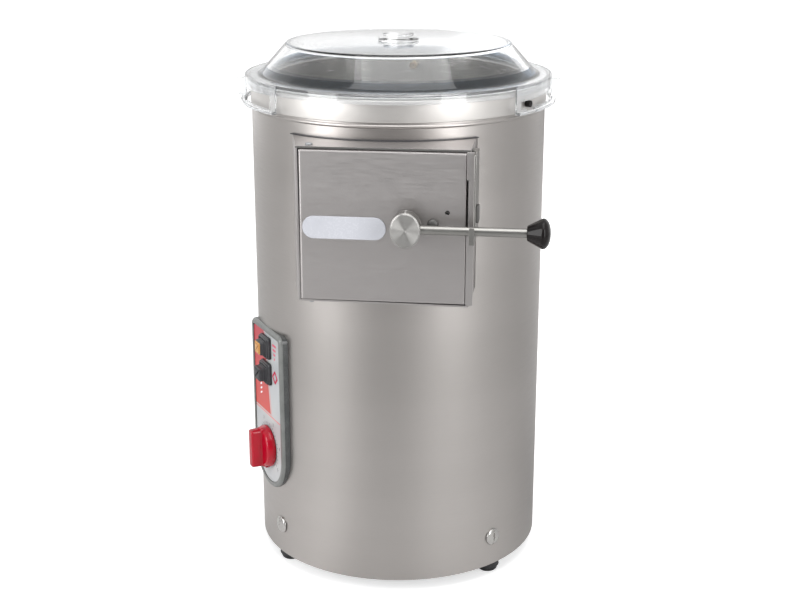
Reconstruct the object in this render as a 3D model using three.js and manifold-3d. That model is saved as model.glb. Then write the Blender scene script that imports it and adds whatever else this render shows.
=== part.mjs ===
// An electric potato peeler: a steel drum on rubber feet, with a rotating abrasive disc in its
// upper half, a belt drive under it, a hinged front door with a lever and a clear bayonet lid.
// Millimetres, +Z up. The drum's axis is Z, the door faces -Y, and the feet stand on z = 0.
// An azimuth is measured at the drum from -Y towards +X. "Reach" is a distance in front of Z.
import * as THREE from 'three';
import { mergeVertices } from 'three/addons/utils/BufferGeometryUtils.js';
import Module from 'manifold-3d';

const wasm = await Module();
wasm.setup();

// Fits shared by all pieces
const seatGap = 0.3;
const overrun = 3;
const weldGap = 0.0002;

// Facets round a full turn
const drumSides = 48;
const discSides = 30;
const turnedSides = 14;
const hubSides = 24;
const boltSides = 8;
const pulleySides = 20;
const arcSteps = 6;
const nutSides = 6;

// Casing
const casingRadius = 181;
const sheet = 1.5;
const footHeight = 17;
const machineSpace = 181;
const driveSpace = 144;
const chamberHeight = 244;
const beadDepth = 1.2;
const beadHeight = 5;
const beadSlope = 1;

// Base pan and feet
const panWall = 1.5;
const panFlange = 58;
const ventCount = 6;
const ventRadius = 9;
const ventCircle = 70;
const footInset = 17.5;
const footTopRadius = 16;
const footBottomRadius = 12;
const footStem = 5;
const footBarb = 7;
const footBarbHeight = 6;
const footAzimuths = [52, 128, -128, -52];
const cornerAzimuths = [48, 132, -132, -48];

// Base screws
const screwRise = 38;
const screwHeadRadius = 10.8;
const screwHeadDepth = 4;
const screwShank = 4;
const screwLength = 9;
const screwSlotWidth = 2.2;
const screwSlotDepth = 1.4;
const screwShoulderShare = 0.8;
const screwCrownShare = 0.4;
const screwRiseShare = 0.7;

// Top ring
const ringProud = 1;
const ringWall = 2;
const ringHeight = 26;
const ringWidth = 15;
const ringSkirt = 8;
const ringEdge = 1.5;

// Lid seal
const sealMargin = 3;
const sealHeight = 2.5;

// Bayonet studs
const studAzimuth = 62.5;
const studRadius = 4;
const studDrop = 16;
const studProud = 6.2;
const studCollar = 7;
const studCollarDepth = 4;

// Clear lid
const lidWall = 4;
const lidFootOverhang = 3;
const lidConeRun = 33;
const lidRise = 37;
const lidSkirtGap = 0.6;
const lidSkirtWall = 3.4;
const lidSkirtDrop = 8;
const lidConeWall = 4.6;
const earAzimuth = 96;
const earHalfSpan = 42.5;
const earSpacing = 2;
const earDrop = 29;
const earFlange = 5.4;
const earFlangeHeight = 3.5;
const gripProud = 11.5;
const gripHalfWidth = 9;
const gripHeight = 25;
const windowNarrowHalf = 39.5;
const windowTallHalf = 39;
const windowNarrow = 8.8;
const windowTall = 15;
const windowRamp = 1.6;
const notchHalfSpan = 2.6;
const releaseTurn = 45;
const releaseHalfSpan = 4;

// Knob on the lid
const lidKnobRadius = 25;
const lidKnobCapRadius = 19;
const lidKnobRing = 3;
const lidKnobHeight = 9.5;
const lidKnobWaist = 13;
const lidKnobStem = 6;
const lidKnobBarb = 8;
const lidKnobBarbHeight = 3;

// Peeling chamber
const linerWall = 1.5;
const linerSink = 3;
const floorWall = 2;
const floorFlange = 18;
const collarRadius = 32;
const collarWall = 2;
const collarHeight = 18;

// Bearing housing, its bearings and seal
const housingLift = 16.7;
const housingRadius = 36;
const housingFlangeRadius = 62;
const housingFlangeWall = 6;
const housingNeckHeight = 14;
const bearingRadius = 26;
const bearingHeight = 15;
const bearingLand = 5;
const upperBearingSink = 20;
const landRadius = 20;
const sealRingHeight = 8;
const sealRingSink = 2;

// Shaft, disc and nut
const shaftRadius = 10;
const shaftTopRadius = 8;
const shaftTail = 2;
const discGap = 7.2;
const discRise = 48;
const discWall = 10;
const discHubRadius = 24;
const discHubHeight = 16;
const discEdge = 3;
const waveHeight = 3;
const waveCount = 6;
const waveShares = [0.3, 0.55, 0.8];
const nutRadius = 17;
const nutHeight = 16;
const nutRim = 6;
const nutCapWall = 4;
const nutCrownShare = 0.6;

// Belt drive
const motorPulleyRadius = 24;
const pulleySpacing = 14;
const pulleyRise = 10;
const pulleyWidth = 20;
const pulleyFlange = 2.2;
const pulleyFlangeHeight = 4.5;
const pulleyHubRadius = 20;
const pulleyWeb = 6;
const pulleyRim = 5;
const beltThickness = 4;
const motorAzimuth = 135;

// Motor and the plate that carries it
const plateWall = 1.5;
const plateFlange = 14;
const motorRadius = 58;
const motorClearance = 57.4;
const motorWallGap = 3.5;
const motorStep = 8;
const motorStepHeight = 12;
const motorBoreDepth = 60;
const motorShaftRadius = 7;
const motorShaftHole = 12;

// Drain, water and cable connections at the rear
const drainRise = 24;
const drainRadius = 20;
const drainWall = 2.5;
const drainBead = 2;
const drainBeadLength = 4;
const nozzleDrop = 16;
const waterDrop = 66;
const pipeRadius = 4;
const nozzleRadius = 5;
const nozzleProud = 8;
const nozzleBore = 1.6;
const inletThread = 13;
const inletBore = 9;
const inletFlangeRadius = 17;
const inletFlangeDepth = 6;
const inletLength = 22;
const inletSpigot = 6;
const glandAzimuth = 180;
const glandRise = 83;
const glandRadius = 12;
const glandDepth = 6;
const glandDomeRadius = 9.5;
const glandDomeLength = 12;
const glandThread = 8;
const glandThreadLength = 12;
const glandBore = 4;

// Chute and door
const chuteProud = 41.5;
const chuteLeft = -86;
const chuteRight = 108.3;
const chuteRearLeft = -104;
const chuteRearRight = 109;
const chuteBend = 34;
const chuteThroat = 35;
const chuteRise = 45.3;
const chuteDrop = 19.7;
const chuteWall = 2;
const lipDepth = 10;
const lipWall = 2;
const gasketThickness = 4;
const gasketStep = 1;
const gasketRelief = 1;
const doorThickness = 20;
const doorSink = 0.2;
const doorSkin = 2;
const doorLeftGap = 0.5;
const doorRightGap = 2.5;
const doorTopGap = 2.5;
const doorBottomGap = 1;
const doorEdge = 3;
const doorCorner = 4.5;
const pivotInset = 11;
const stileWidth = 12;
const hingePinRadius = 3;
const hingePinHead = 4.5;
const hingePinHeadHeight = 2.5;
const hingePinTail = 3;
const sightHoleInset = 20.4;
const sightHoleLift = 15;
const sightHoleRadius = 2.8;
const badgeOffset = 71.8;
const badgeDrop = 5.6;
const badgeLength = 94.5;
const badgeHeight = 26;
const badgeThickness = 0.8;
const doorBoltOffset = 28.1;
const doorBoltLift = 2;
const doorBoltRadius = 6.2;
const doorBoltHead = 6;
const doorBoltShank = 3;
const doorBoltLength = 10;

// Lever
const leverInset = 64.5;
const leverLift = 3.8;
const leverStandoff = 29;
const hubHalfWidth = 17;
const hubHalfHeight = 19.8;
const hubDepth = 18;
const hubEdge = 1.2;
const spindleRadius = 6;
const spindleTail = 9;
const bossRadius = 13;
const leverNutRadius = 10;
const leverNutDepth = 7;
const rodRadius = 5;
const rodSetback = 9;
const rodSocket = 11;
const rodLength = 132.7;
const knobLength = 26;
const knobNarrow = 8;
const knobWide = 17;
const knobDome = 5;
const knobShoulderShare = 0.75;
const knobCrownShare = 0.35;
const knobSocket = 14;

// Catch on the chute's side
const catchWall = 2.5;
const catchDrop = 14;
const catchLift = 82;
const catchTail = 32.5;
const catchFoot = 16;
const catchOffset = 3.5;
const catchStepGap = 3;
const catchNose = 6;
const catchPlay = 1.5;

// Control panel
const panelAzimuth = -56.6;
const panelHalfWidth = 50;
const panelHead = 22;
const panelFoot = 55;
const panelCorner = 9;
const bezelLip = 1.2;
const bezelBorder = 7;
const bezelBevel = 2;
const faceThickness = 2;
const faceWindowHalfWidth = 25;
const faceWindowMargin = 4;

// Timer
const timerDrop = 43;
const timerHalf = 22;
const timerDepth = 40;
const timerSpindleRadius = 3;
const timerSpindleTail = 10;
const timerKnobRadius = 27;
const timerKnobTopRadius = 24;
const timerKnobBase = 11;
const timerKnobHeight = 25.5;
const timerGripHalfWidth = 6.5;
const timerGripHalfLength = 25.5;
const timerGripCorner = 3;
const timerPointerWidth = 3;
const timerPointerLength = 3.5;
const timerSocket = 12;

// Push buttons
const buttonU = 2;
const startDrop = 53;
const buttonSpacing = 34;
const collarHalfWidth = 15;
const collarHalfHeight = 14;
const collarDepth = 6;
const collarBorder = 3.5;
const buttonFootHalfWidth = 10.5;
const buttonFootHalfHeight = 9.5;
const buttonCapHalfWidth = 9;
const buttonCapHalfHeight = 8.2;
const buttonHeight = 15;
const buttonTravel = 4;
const plungerRadius = 4;
const plungerTail = 3;
const lensInset = 0.8;
const lensThickness = 1.2;
const switchHalf = 11;
const switchDepth = 34;

// Places worked out from the sizes above
const rad = THREE.MathUtils.degToRad;
const casingInner = casingRadius - sheet;
const plateTop = footHeight + machineSpace;
const floorTop = plateTop + driveSpace;
const casingTop = floorTop + chamberHeight;
const footCircle = casingInner - footInset;
const screwHeight = footHeight + screwRise;
const ringRadius = casingRadius + ringProud;
const ringInner = ringRadius - ringWidth;
const ringTop = casingTop + ringHeight;
const sealInner = ringInner + sealMargin;
const sealOuter = ringRadius - sealMargin;
const lidFootRadius = ringInner + lidFootOverhang;
const lidDiscRadius = lidFootRadius - lidConeRun;
const linerOuter = ringInner - seatGap;
const linerInner = linerOuter - linerWall;
const linerTop = ringTop - linerSink;
const studZ = ringTop - studDrop;
const studTip = ringRadius + studProud;
const lidBottom = ringTop + seatGap + sealHeight + seatGap;
const lidFlangeTop = lidBottom + lidWall;
const lidTop = lidFlangeTop + lidRise;
const lidSkirtInner = ringRadius + lidSkirtGap;
const lidRadius = lidSkirtInner + lidSkirtWall;
const earInner = ringRadius + earSpacing;
const earOuter = studTip + seatGap;
const earBottom = lidBottom - earDrop;
const gripReach = earOuter + gripProud;
const pulleyBottom = plateTop + pulleyRise;
const shaftBottom = pulleyBottom - shaftTail;
const housingTop = floorTop - floorWall - seatGap;
const housingNeckTop = floorTop + housingNeckHeight;
const housingBottom = pulleyBottom + pulleyWidth + housingLift;
const drainHeight = floorTop + drainRise;
const nozzleHeight = ringTop - nozzleDrop;
const waterHeight = nozzleHeight - waterDrop;
const pipeReach = (linerOuter + casingInner) / 2;
const glandHeight = footHeight + glandRise;
const chuteReach = casingRadius + chuteProud;
const chuteRearReach = casingRadius - chuteBend;
const chuteInnerReach = chuteRearReach - chuteThroat;
const chuteBottom = floorTop + chuteRise;
const chuteTop = casingTop - chuteDrop;
const doorFront = chuteReach - doorSink;
const doorRound = doorThickness / 2;
const pivotReach = doorFront - doorRound;
const doorLeft = chuteLeft + chuteWall + doorLeftGap;
const doorRight = chuteRight - chuteWall - doorRightGap;
const doorBottom = chuteBottom + chuteWall + doorBottomGap;
const doorTop = chuteTop - chuteWall - doorTopGap;
const pivotX = doorLeft + pivotInset;
const doorBack = doorFront - doorThickness;
const gasketFront = doorBack - seatGap;
const lipFront = gasketFront - gasketThickness - seatGap;
const leverX = doorRight - leverInset;
const leverZ = (chuteBottom + chuteTop) / 2 + leverLift;
const frontReach = doorFront + leverStandoff;
const rodReach = frontReach - rodSetback;
const knobStart = leverX + rodLength;
const knobEnd = knobStart + knobLength;
const rearReach = rodReach + knobWide;
const hubBack = frontReach - hubDepth;
const sightHoleX = doorRight - sightHoleInset;
const sightHoleZ = leverZ + sightHoleLift;
const badgeX = leverX - badgeOffset;
const badgeZ = leverZ - badgeDrop;
const doorBoltX = leverX + doorBoltOffset;
const doorBoltZ = leverZ + doorBoltLift;
const catchBottom = leverZ - catchDrop;
const catchTop = leverZ + catchLift;
const catchRearReach = chuteReach - catchTail;
const catchStepReach = rodReach - rodRadius - catchStepGap;
const catchNoseReach = rodReach + catchNose;
const faceBack = casingRadius + seatGap;
const faceFront = faceBack + faceThickness;
const knobFoot = faceFront + seatGap;
const bezelReach = faceFront + bezelLip;
const timerKnobReach = knobFoot + timerKnobHeight;
const buttonReach = faceFront + buttonHeight;
const timerZ = plateTop - timerDrop;
const startZ = floorTop - startDrop;
const stopZ = startZ - buttonSpacing;
const panelTop = startZ + panelHead;
const panelBottom = timerZ - panelFoot;
const discRadius = linerInner - discGap;
const discTop = floorTop + discRise;
const discHubBottom = discTop - discWall - discHubHeight;
const shaftShoulder = discHubBottom - seatGap;
const motorDistance = casingInner - motorRadius - motorWallGap;
const drivenRadius = motorDistance - motorPulleyRadius - pulleySpacing;
const motorX = motorDistance * Math.sin(rad(motorAzimuth));
const motorY = -motorDistance * Math.cos(rad(motorAzimuth));
const motorTop = plateTop - plateWall - seatGap;
const motorLength = motorTop - footHeight - seatGap - panWall - motorClearance;

// A hole's corner radius that leaves the seat gap round a round piece
function boreOf(radius, sides = boltSides) {
  return (radius + seatGap) / Math.cos(Math.PI / sides);
}

// Turns a closed geometry into a solid that can be joined and cut
function solid(geometry) {
  const bare = new THREE.BufferGeometry();
  bare.setAttribute('position', geometry.getAttribute('position'));
  if (geometry.index) bare.setIndex(geometry.index);
  const merged = mergeVertices(bare, weldGap);
  const place = merged.getAttribute('position');
  const corners = merged.index.array;
  const kept = [];
  let volume = 0;
  const a = new THREE.Vector3();
  const b = new THREE.Vector3();
  const c = new THREE.Vector3();
  for (let i = 0; i < corners.length; i += 3) {
    const [p, q, r] = [corners[i], corners[i + 1], corners[i + 2]];
    if (p === q || q === r || r === p) continue;
    kept.push([p, q, r]);
    a.fromBufferAttribute(place, p);
    b.fromBufferAttribute(place, q);
    c.fromBufferAttribute(place, r);
    volume += a.dot(b.cross(c));
  }
  const outward = kept.map(([p, q, r]) => (volume < 0 ? [p, r, q] : [p, q, r]));
  return new wasm.Manifold(new wasm.Mesh({
    numProp: 3,
    vertProperties: new Float32Array(place.array),
    triVerts: new Uint32Array(outward.flat()),
  }));
}

// Outline points (radius, height) turned about Z
function turned(points, sides) {
  const outline = points.map(([r, z]) => new THREE.Vector2(r, z));
  return solid(new THREE.LatheGeometry(outline, sides).rotateX(Math.PI / 2));
}

function ring(inner, outer, bottom, top, sides) {
  return turned([[inner, bottom], [outer, bottom], [outer, top], [inner, top], [inner, bottom]], sides);
}

function post(radius, bottom, top, sides) {
  return turned([[0, bottom], [radius, bottom], [radius, top], [0, top]], sides);
}

function block(x0, x1, y0, y1, z0, z1) {
  const box = new THREE.BoxGeometry(x1 - x0, y1 - y0, z1 - z0);
  return solid(box.translate((x0 + x1) / 2, (y0 + y1) / 2, (z0 + z1) / 2));
}

function shapeOf(points) {
  return new THREE.Shape(points.map(([x, y]) => new THREE.Vector2(x, y)));
}

// A plan outline raised along Z
function raised(shape, bottom, top, curveSteps = 8) {
  const body = new THREE.ExtrudeGeometry(shape, {
    depth: top - bottom, bevelEnabled: false, curveSegments: curveSteps,
  });
  return solid(body.translate(0, 0, bottom));
}

// A front outline (x, z) standing from one reach to a larger one, towards -Y
function facing(shape, fromReach, toReach, curveSteps = 8) {
  const body = new THREE.ExtrudeGeometry(shape, {
    depth: toReach - fromReach, bevelEnabled: false, curveSegments: curveSteps,
  });
  return solid(body.rotateX(Math.PI / 2).translate(0, -fromReach, 0));
}

const quarter = 90;
const towardFront = (body) => body.rotate([quarter, 0, 0]);

// Outline points (radius, reach) turned about the front-to-back line through (x, z)
function turnedOut(points, x, z, sides) {
  return towardFront(turned(points, sides)).translate([x, 0, z]);
}

function dowel(radius, fromReach, toReach, x, z, sides) {
  return towardFront(post(radius, fromReach, toReach, sides)).translate([x, 0, z]);
}

function atAzimuth(body, azimuth) {
  return body.rotate([0, 0, azimuth]);
}

// A piece of ring between two azimuths
function sector(inner, outer, from, to, bottom, top, steps) {
  const shape = new THREE.Shape();
  const start = rad(from - quarter);
  const end = rad(to - quarter);
  shape.absarc(0, 0, outer, start, end, false);
  shape.absarc(0, 0, inner, end, start, true);
  return raised(shape, bottom, top, steps);
}

function rectangle(x0, x1, z0, z1) {
  return shapeOf([[x0, z0], [x1, z0], [x1, z1], [x0, z1]]);
}

function roundedRectangle(x0, x1, z0, z1, radius) {
  const shape = new THREE.Shape();
  shape.absarc(x1 - radius, z0 + radius, radius, -Math.PI / 2, 0, false);
  shape.absarc(x1 - radius, z1 - radius, radius, 0, Math.PI / 2, false);
  shape.absarc(x0 + radius, z1 - radius, radius, Math.PI / 2, Math.PI, false);
  shape.absarc(x0 + radius, z0 + radius, radius, Math.PI, Math.PI * 1.5, false);
  return shape;
}

// Looks and the scene graph
const look = (color, roughness, metalness, extra = {}) =>
  new THREE.MeshStandardMaterial({ color, roughness, metalness, ...extra });
const looks = {
  satinSteel: look(0xa8a5a0, 0.38, 1),
  brightSteel: look(0xc9c8c4, 0.22, 1),
  darkSteel: look(0x6f7072, 0.5, 0.9),
  castAluminium: look(0x9a9c9e, 0.55, 0.8),
  abrasive: look(0x3c3d40, 0.95, 0),
  rubber: look(0x1b1b1d, 0.8, 0),
  blackPlastic: look(0x161618, 0.3, 0),
  greyPlastic: look(0x6d6f73, 0.45, 0),
  panelFilm: look(0xe3e6ef, 0.35, 0),
  redPlastic: look(0xc51526, 0.2, 0),
  amber: look(0xe08a1e, 0.3, 0),
  white: look(0xf2f3f5, 0.35, 0),
  brass: look(0xb08d4a, 0.35, 1),
  clear: look(0xdfe6ee, 0.08, 0, { transparent: true, opacity: 0.3 }),
};

const peeler = new THREE.Group();
peeler.name = 'electric_potato_peeler';

function add(group, name, material, body) {
  const mesh = body.getMesh();
  const geometry = new THREE.BufferGeometry();
  geometry.setAttribute('position', new THREE.BufferAttribute(Float32Array.from(mesh.vertProperties), 3));
  geometry.setIndex(new THREE.BufferAttribute(Uint32Array.from(mesh.triVerts), 1));
  geometry.computeVertexNormals();
  const piece = new THREE.Mesh(geometry, material);
  piece.name = name;
  group.add(piece);
  return piece;
}

function subgroup(parent) {
  const group = new THREE.Group();
  parent.add(group);
  return group;
}

// The chute's plan outline, grown sideways by a margin
function chutePlan(margin) {
  return shapeOf([
    [chuteLeft - margin, -chuteReach],
    [chuteRight + margin, -chuteReach],
    [chuteRearRight + margin, -chuteRearReach],
    [chuteRearRight + margin, -chuteInnerReach],
    [chuteRearLeft - margin, -chuteInnerReach],
    [chuteRearLeft - margin, -chuteRearReach],
  ]);
}

function chuteHole(margin) {
  return raised(chutePlan(margin), chuteBottom - margin, chuteTop + margin);
}

function drumHole(radius, height, azimuth) {
  return atAzimuth(dowel(radius, linerInner - overrun, ringRadius + overrun, 0, height, boltSides), azimuth);
}

// Casing shell with the holes that its fittings pass through
function outerShell() {
  const beadTop = casingTop - beadSlope;
  let body = turned([
    [casingInner, footHeight],
    [casingRadius, footHeight],
    [casingRadius, beadTop - beadHeight],
    [casingRadius + beadDepth, beadTop - beadHeight + beadSlope],
    [casingRadius + beadDepth, beadTop - beadSlope],
    [casingRadius, beadTop],
    [casingRadius, casingTop],
    [casingInner, casingTop],
    [casingInner, footHeight],
  ], drumSides);
  body = body.subtract(chuteHole(seatGap));
  for (const azimuth of cornerAzimuths) {
    body = body.subtract(drumHole(boreOf(screwShank), screwHeight, azimuth));
  }
  const rear = 2 * quarter;
  body = body.subtract(drumHole(boreOf(drainRadius), drainHeight, rear));
  body = body.subtract(drumHole(boreOf(inletSpigot), waterHeight, rear));
  body = body.subtract(drumHole(boreOf(glandThread), glandHeight, glandAzimuth));
  const panelHole = block(
    -faceWindowHalfWidth, faceWindowHalfWidth, -casingRadius - overrun, -linerInner,
    timerZ - timerHalf - faceWindowMargin, startZ + switchHalf + faceWindowMargin,
  );
  return body.subtract(atAzimuth(panelHole, panelAzimuth));
}

function basePan() {
  const outer = casingInner - seatGap;
  const bottom = footHeight + seatGap;
  let body = turned([
    [0, bottom], [outer, bottom], [outer, bottom + panFlange],
    [outer - panWall, bottom + panFlange], [outer - panWall, bottom + panWall], [0, bottom + panWall],
  ], drumSides);
  for (const azimuth of cornerAzimuths) {
    body = body.subtract(drumHole(boreOf(screwShank), screwHeight, azimuth));
  }
  const stemHole = post(boreOf(footStem), bottom - overrun, bottom + panWall + overrun, boltSides)
    .translate([0, -footCircle, 0]);
  for (const azimuth of footAzimuths) {
    body = body.subtract(atAzimuth(stemHole, azimuth));
  }
  for (let i = 0; i < ventCount; i += 1) {
    const vent = post(ventRadius, bottom - overrun, bottom + panWall + overrun, boltSides);
    body = body.subtract(atAzimuth(vent.translate([0, -ventCircle, 0]), i * 4 * quarter / ventCount));
  }
  return body;
}

function foot() {
  const barbBottom = footHeight + seatGap + panWall + seatGap;
  return turned([
    [0, 0], [footBottomRadius, 0], [footTopRadius, footHeight], [footStem, footHeight],
    [footStem, barbBottom], [footBarb, barbBottom], [footStem, barbBottom + footBarbHeight],
    [0, barbBottom + footBarbHeight],
  ], turnedSides).translate([0, -footCircle, 0]);
}

// A domed, slotted screw that holds the pan's flange to the shell
function baseScrew() {
  const headBack = casingRadius + seatGap;
  const head = turnedOut([
    [0, headBack - screwLength], [screwShank, headBack - screwLength], [screwShank, headBack],
    [screwHeadRadius, headBack], [screwHeadRadius, headBack + screwHeadDepth / 4],
    [screwHeadRadius * screwShoulderShare, headBack + screwHeadDepth * screwRiseShare],
    [screwHeadRadius * screwCrownShare, headBack + screwHeadDepth],
    [0, headBack + screwHeadDepth],
  ], 0, screwHeight, turnedSides);
  const slot = block(
    -screwSlotWidth / 2, screwSlotWidth / 2,
    -headBack - screwHeadDepth - overrun, -headBack - screwHeadDepth + screwSlotDepth,
    screwHeight - screwHeadRadius, screwHeight + screwHeadRadius,
  );
  return head.subtract(slot);
}

// An upside-down channel that closes the top between casing and liner
function topRing() {
  const bottom = casingTop + seatGap;
  let body = turned([
    [ringRadius - ringWall, bottom],
    [ringRadius, bottom],
    [ringRadius, ringTop - ringEdge],
    [ringRadius - ringEdge, ringTop],
    [ringInner + ringEdge, ringTop],
    [ringInner, ringTop - ringEdge],
    [ringInner, ringTop - ringSkirt],
    [ringInner + ringWall, ringTop - ringSkirt],
    [ringInner + ringWall, ringTop - ringWall],
    [ringRadius - ringWall, ringTop - ringWall],
    [ringRadius - ringWall, bottom],
  ], drumSides);
  for (const azimuth of [studAzimuth, studAzimuth + 2 * quarter]) {
    const holeStart = ringInner + 2 * ringWall;
    const hole = dowel(boreOf(studRadius), holeStart, ringRadius + overrun, 0, studZ, boltSides);
    body = body.subtract(atAzimuth(hole, azimuth));
  }
  return body;
}

function bayonetStud() {
  const collarFront = ringRadius - ringWall - seatGap - ringWall / 2;
  return turnedOut([
    [0, collarFront - studCollarDepth], [studCollar, collarFront - studCollarDepth],
    [studCollar, collarFront], [studRadius, collarFront], [studRadius, studTip - seatGap],
    [studRadius - seatGap, studTip], [0, studTip],
  ], 0, studZ, boltSides);
}

function innerLiner() {
  const rear = 2 * quarter;
  return ring(linerInner, linerOuter, floorTop + seatGap, linerTop, drumSides)
    .subtract(chuteHole(seatGap))
    .subtract(drumHole(boreOf(drainRadius), drainHeight, rear))
    .subtract(drumHole(boreOf(nozzleRadius), nozzleHeight, rear));
}

// Bulkhead between chamber and motor space, with a collar that keeps water from the bearings
function chamberFloor() {
  const outer = casingInner - seatGap;
  return turned([
    [collarRadius, floorTop - floorWall],
    [outer - floorWall, floorTop - floorWall],
    [outer - floorWall, floorTop - floorFlange],
    [outer, floorTop - floorFlange],
    [outer, floorTop],
    [collarRadius + collarWall, floorTop],
    [collarRadius + collarWall, floorTop + collarHeight],
    [collarRadius, floorTop + collarHeight],
    [collarRadius, floorTop - floorWall],
  ], drumSides);
}

function bearingHousing() {
  const bore = bearingRadius + seatGap;
  const neck = collarRadius - seatGap;
  const lowerTop = housingBottom + bearingLand + bearingHeight + 2 * seatGap;
  const upperBottom = housingTop - upperBearingSink - seatGap;
  return turned([
    [landRadius, housingBottom],
    [housingRadius, housingBottom],
    [housingRadius, housingTop - housingFlangeWall],
    [housingFlangeRadius, housingTop - housingFlangeWall],
    [housingFlangeRadius, housingTop],
    [neck, housingTop],
    [neck, housingNeckTop],
    [bore, housingNeckTop],
    [bore, upperBottom],
    [landRadius, upperBottom],
    [landRadius, lowerTop],
    [bore, lowerTop],
    [bore, housingBottom + bearingLand],
    [landRadius, housingBottom + bearingLand],
    [landRadius, housingBottom],
  ], turnedSides);
}

function bearing(bottom) {
  return ring(boreOf(shaftRadius, turnedSides), bearingRadius, bottom, bottom + bearingHeight, turnedSides);
}

function shaftSeal() {
  const top = housingNeckTop - sealRingSink;
  return ring(boreOf(shaftRadius, turnedSides), bearingRadius, top - sealRingHeight, top, turnedSides);
}

function mainShaft() {
  return turned([
    [0, shaftBottom], [shaftRadius, shaftBottom], [shaftRadius, shaftShoulder],
    [shaftTopRadius, shaftShoulder], [shaftTopRadius, discTop + nutHeight - nutCapWall - seatGap],
    [0, discTop + nutHeight - nutCapWall - seatGap],
  ], turnedSides);
}

// The disc's top rises and falls round its turn, more towards the rim
function abrasiveDisc() {
  const bore = boreOf(shaftTopRadius, discSides);
  const bottom = discTop - discWall;
  const stations = waveShares.map((share) => [discRadius * share, discTop]).reverse();
  const outline = [
    [bore, discHubBottom], [discHubRadius, discHubBottom], [discHubRadius, bottom],
    [discRadius, bottom], [discRadius, discTop - discEdge], [discRadius - discEdge, discTop],
    ...stations, [bore, discTop], [bore, discHubBottom],
  ].map(([r, z]) => new THREE.Vector2(r, z));
  const body = new THREE.LatheGeometry(outline, discSides).rotateX(Math.PI / 2);
  const place = body.getAttribute('position');
  const flatRadius = discRadius * waveShares[0];
  for (let i = 0; i < place.count; i += 1) {
    const radius = Math.hypot(place.getX(i), place.getY(i));
    const onTop = place.getZ(i) > discTop - discEdge / 2;
    const share = Math.min(1, Math.max(0, (radius - flatRadius) / (discRadius - flatRadius)));
    const turn = Math.atan2(place.getY(i), place.getX(i));
    if (onTop) place.setZ(i, place.getZ(i) + waveHeight * share * Math.cos(waveCount * turn));
  }
  return solid(body);
}

function discNut() {
  const bottom = discTop + seatGap;
  const bore = boreOf(shaftTopRadius, turnedSides);
  const top = discTop + nutHeight;
  return turned([
    [bore, bottom], [nutRadius, bottom], [nutRadius, bottom + nutRim],
    [nutRadius * nutCrownShare, top - nutCapWall / 4], [0, top], [0, top - nutCapWall],
    [bore, top - nutCapWall], [bore, bottom],
  ], turnedSides);
}

// A flat-belt pulley with two side flanges, a web and a hub
function pulley(radius, hubOuter, bore, sides) {
  const top = pulleyBottom + pulleyWidth;
  const crown = radius - pulleyFlangeHeight;
  const rimInner = crown - pulleyRim;
  const webBottom = pulleyBottom + (pulleyWidth - pulleyWeb) / 2;
  const webTop = webBottom + pulleyWeb;
  const outline = [
    [bore, pulleyBottom], [hubOuter, pulleyBottom], [hubOuter, webBottom], [rimInner, webBottom],
    [rimInner, pulleyBottom], [radius, pulleyBottom], [radius, pulleyBottom + pulleyFlange],
    [crown, pulleyBottom + pulleyFlange], [crown, top - pulleyFlange], [radius, top - pulleyFlange],
    [radius, top], [rimInner, top], [rimInner, webTop], [hubOuter, webTop], [hubOuter, top],
    [bore, top], [bore, pulleyBottom],
  ];
  return turned(outline, sides);
}

function solidPulley(radius, bore, sides) {
  const top = pulleyBottom + pulleyWidth;
  const crown = radius - pulleyFlangeHeight;
  return turned([
    [bore, pulleyBottom], [radius, pulleyBottom], [radius, pulleyBottom + pulleyFlange],
    [crown, pulleyBottom + pulleyFlange], [crown, top - pulleyFlange], [radius, top - pulleyFlange],
    [radius, top], [bore, top], [bore, pulleyBottom],
  ], sides);
}

// The belt's loop round both pulleys, with its straight runs on their common tangents
function beltLoop(path, lift) {
  const large = drivenRadius - pulleyFlangeHeight + lift;
  const small = motorPulleyRadius - pulleyFlangeHeight + lift;
  const lean = Math.acos((large - small) / motorDistance);
  path.absarc(0, 0, large, lean, 2 * Math.PI - lean, false);
  path.absarc(motorDistance, 0, small, -lean, lean, false);
  return path;
}

function driveBelt() {
  const shape = beltLoop(new THREE.Shape(), seatGap + beltThickness);
  shape.holes.push(beltLoop(new THREE.Path(), 2 * seatGap));
  const bottom = pulleyBottom + pulleyFlange + 2 * seatGap;
  const top = pulleyBottom + pulleyWidth - pulleyFlange - 2 * seatGap;
  return atAzimuth(raised(shape, bottom, top, 2 * arcSteps), motorAzimuth - quarter);
}

function motorPlate() {
  const outer = casingInner - seatGap;
  const bottom = plateTop - plateWall;
  const hole = post(motorShaftHole, bottom - overrun, plateTop + overrun, boltSides);
  return turned([
    [0, bottom], [outer, bottom], [outer, plateTop + plateFlange],
    [outer - plateWall, plateTop + plateFlange], [outer - plateWall, plateTop], [0, plateTop],
  ], drumSides).subtract(hole.translate([motorX, motorY, 0]));
}

function motorBody() {
  const bottom = motorTop - motorLength;
  const bore = boreOf(motorShaftRadius, turnedSides);
  return turned([
    [0, bottom], [motorRadius - motorStep, bottom], [motorRadius, bottom + motorStepHeight],
    [motorRadius, motorTop], [bore, motorTop], [bore, motorTop - motorBoreDepth],
    [0, motorTop - motorBoreDepth],
  ], turnedSides);
}

function drainOutlet() {
  return atAzimuth(turnedOut([
    [drainRadius - drainWall, linerInner], [drainRadius, linerInner],
    [drainRadius, rearReach - drainBeadLength], [drainRadius + drainBead, rearReach - drainBeadLength],
    [drainRadius + drainBead, rearReach], [drainRadius - drainWall, rearReach],
    [drainRadius - drainWall, linerInner],
  ], 0, drainHeight, turnedSides), 2 * quarter);
}

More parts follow.
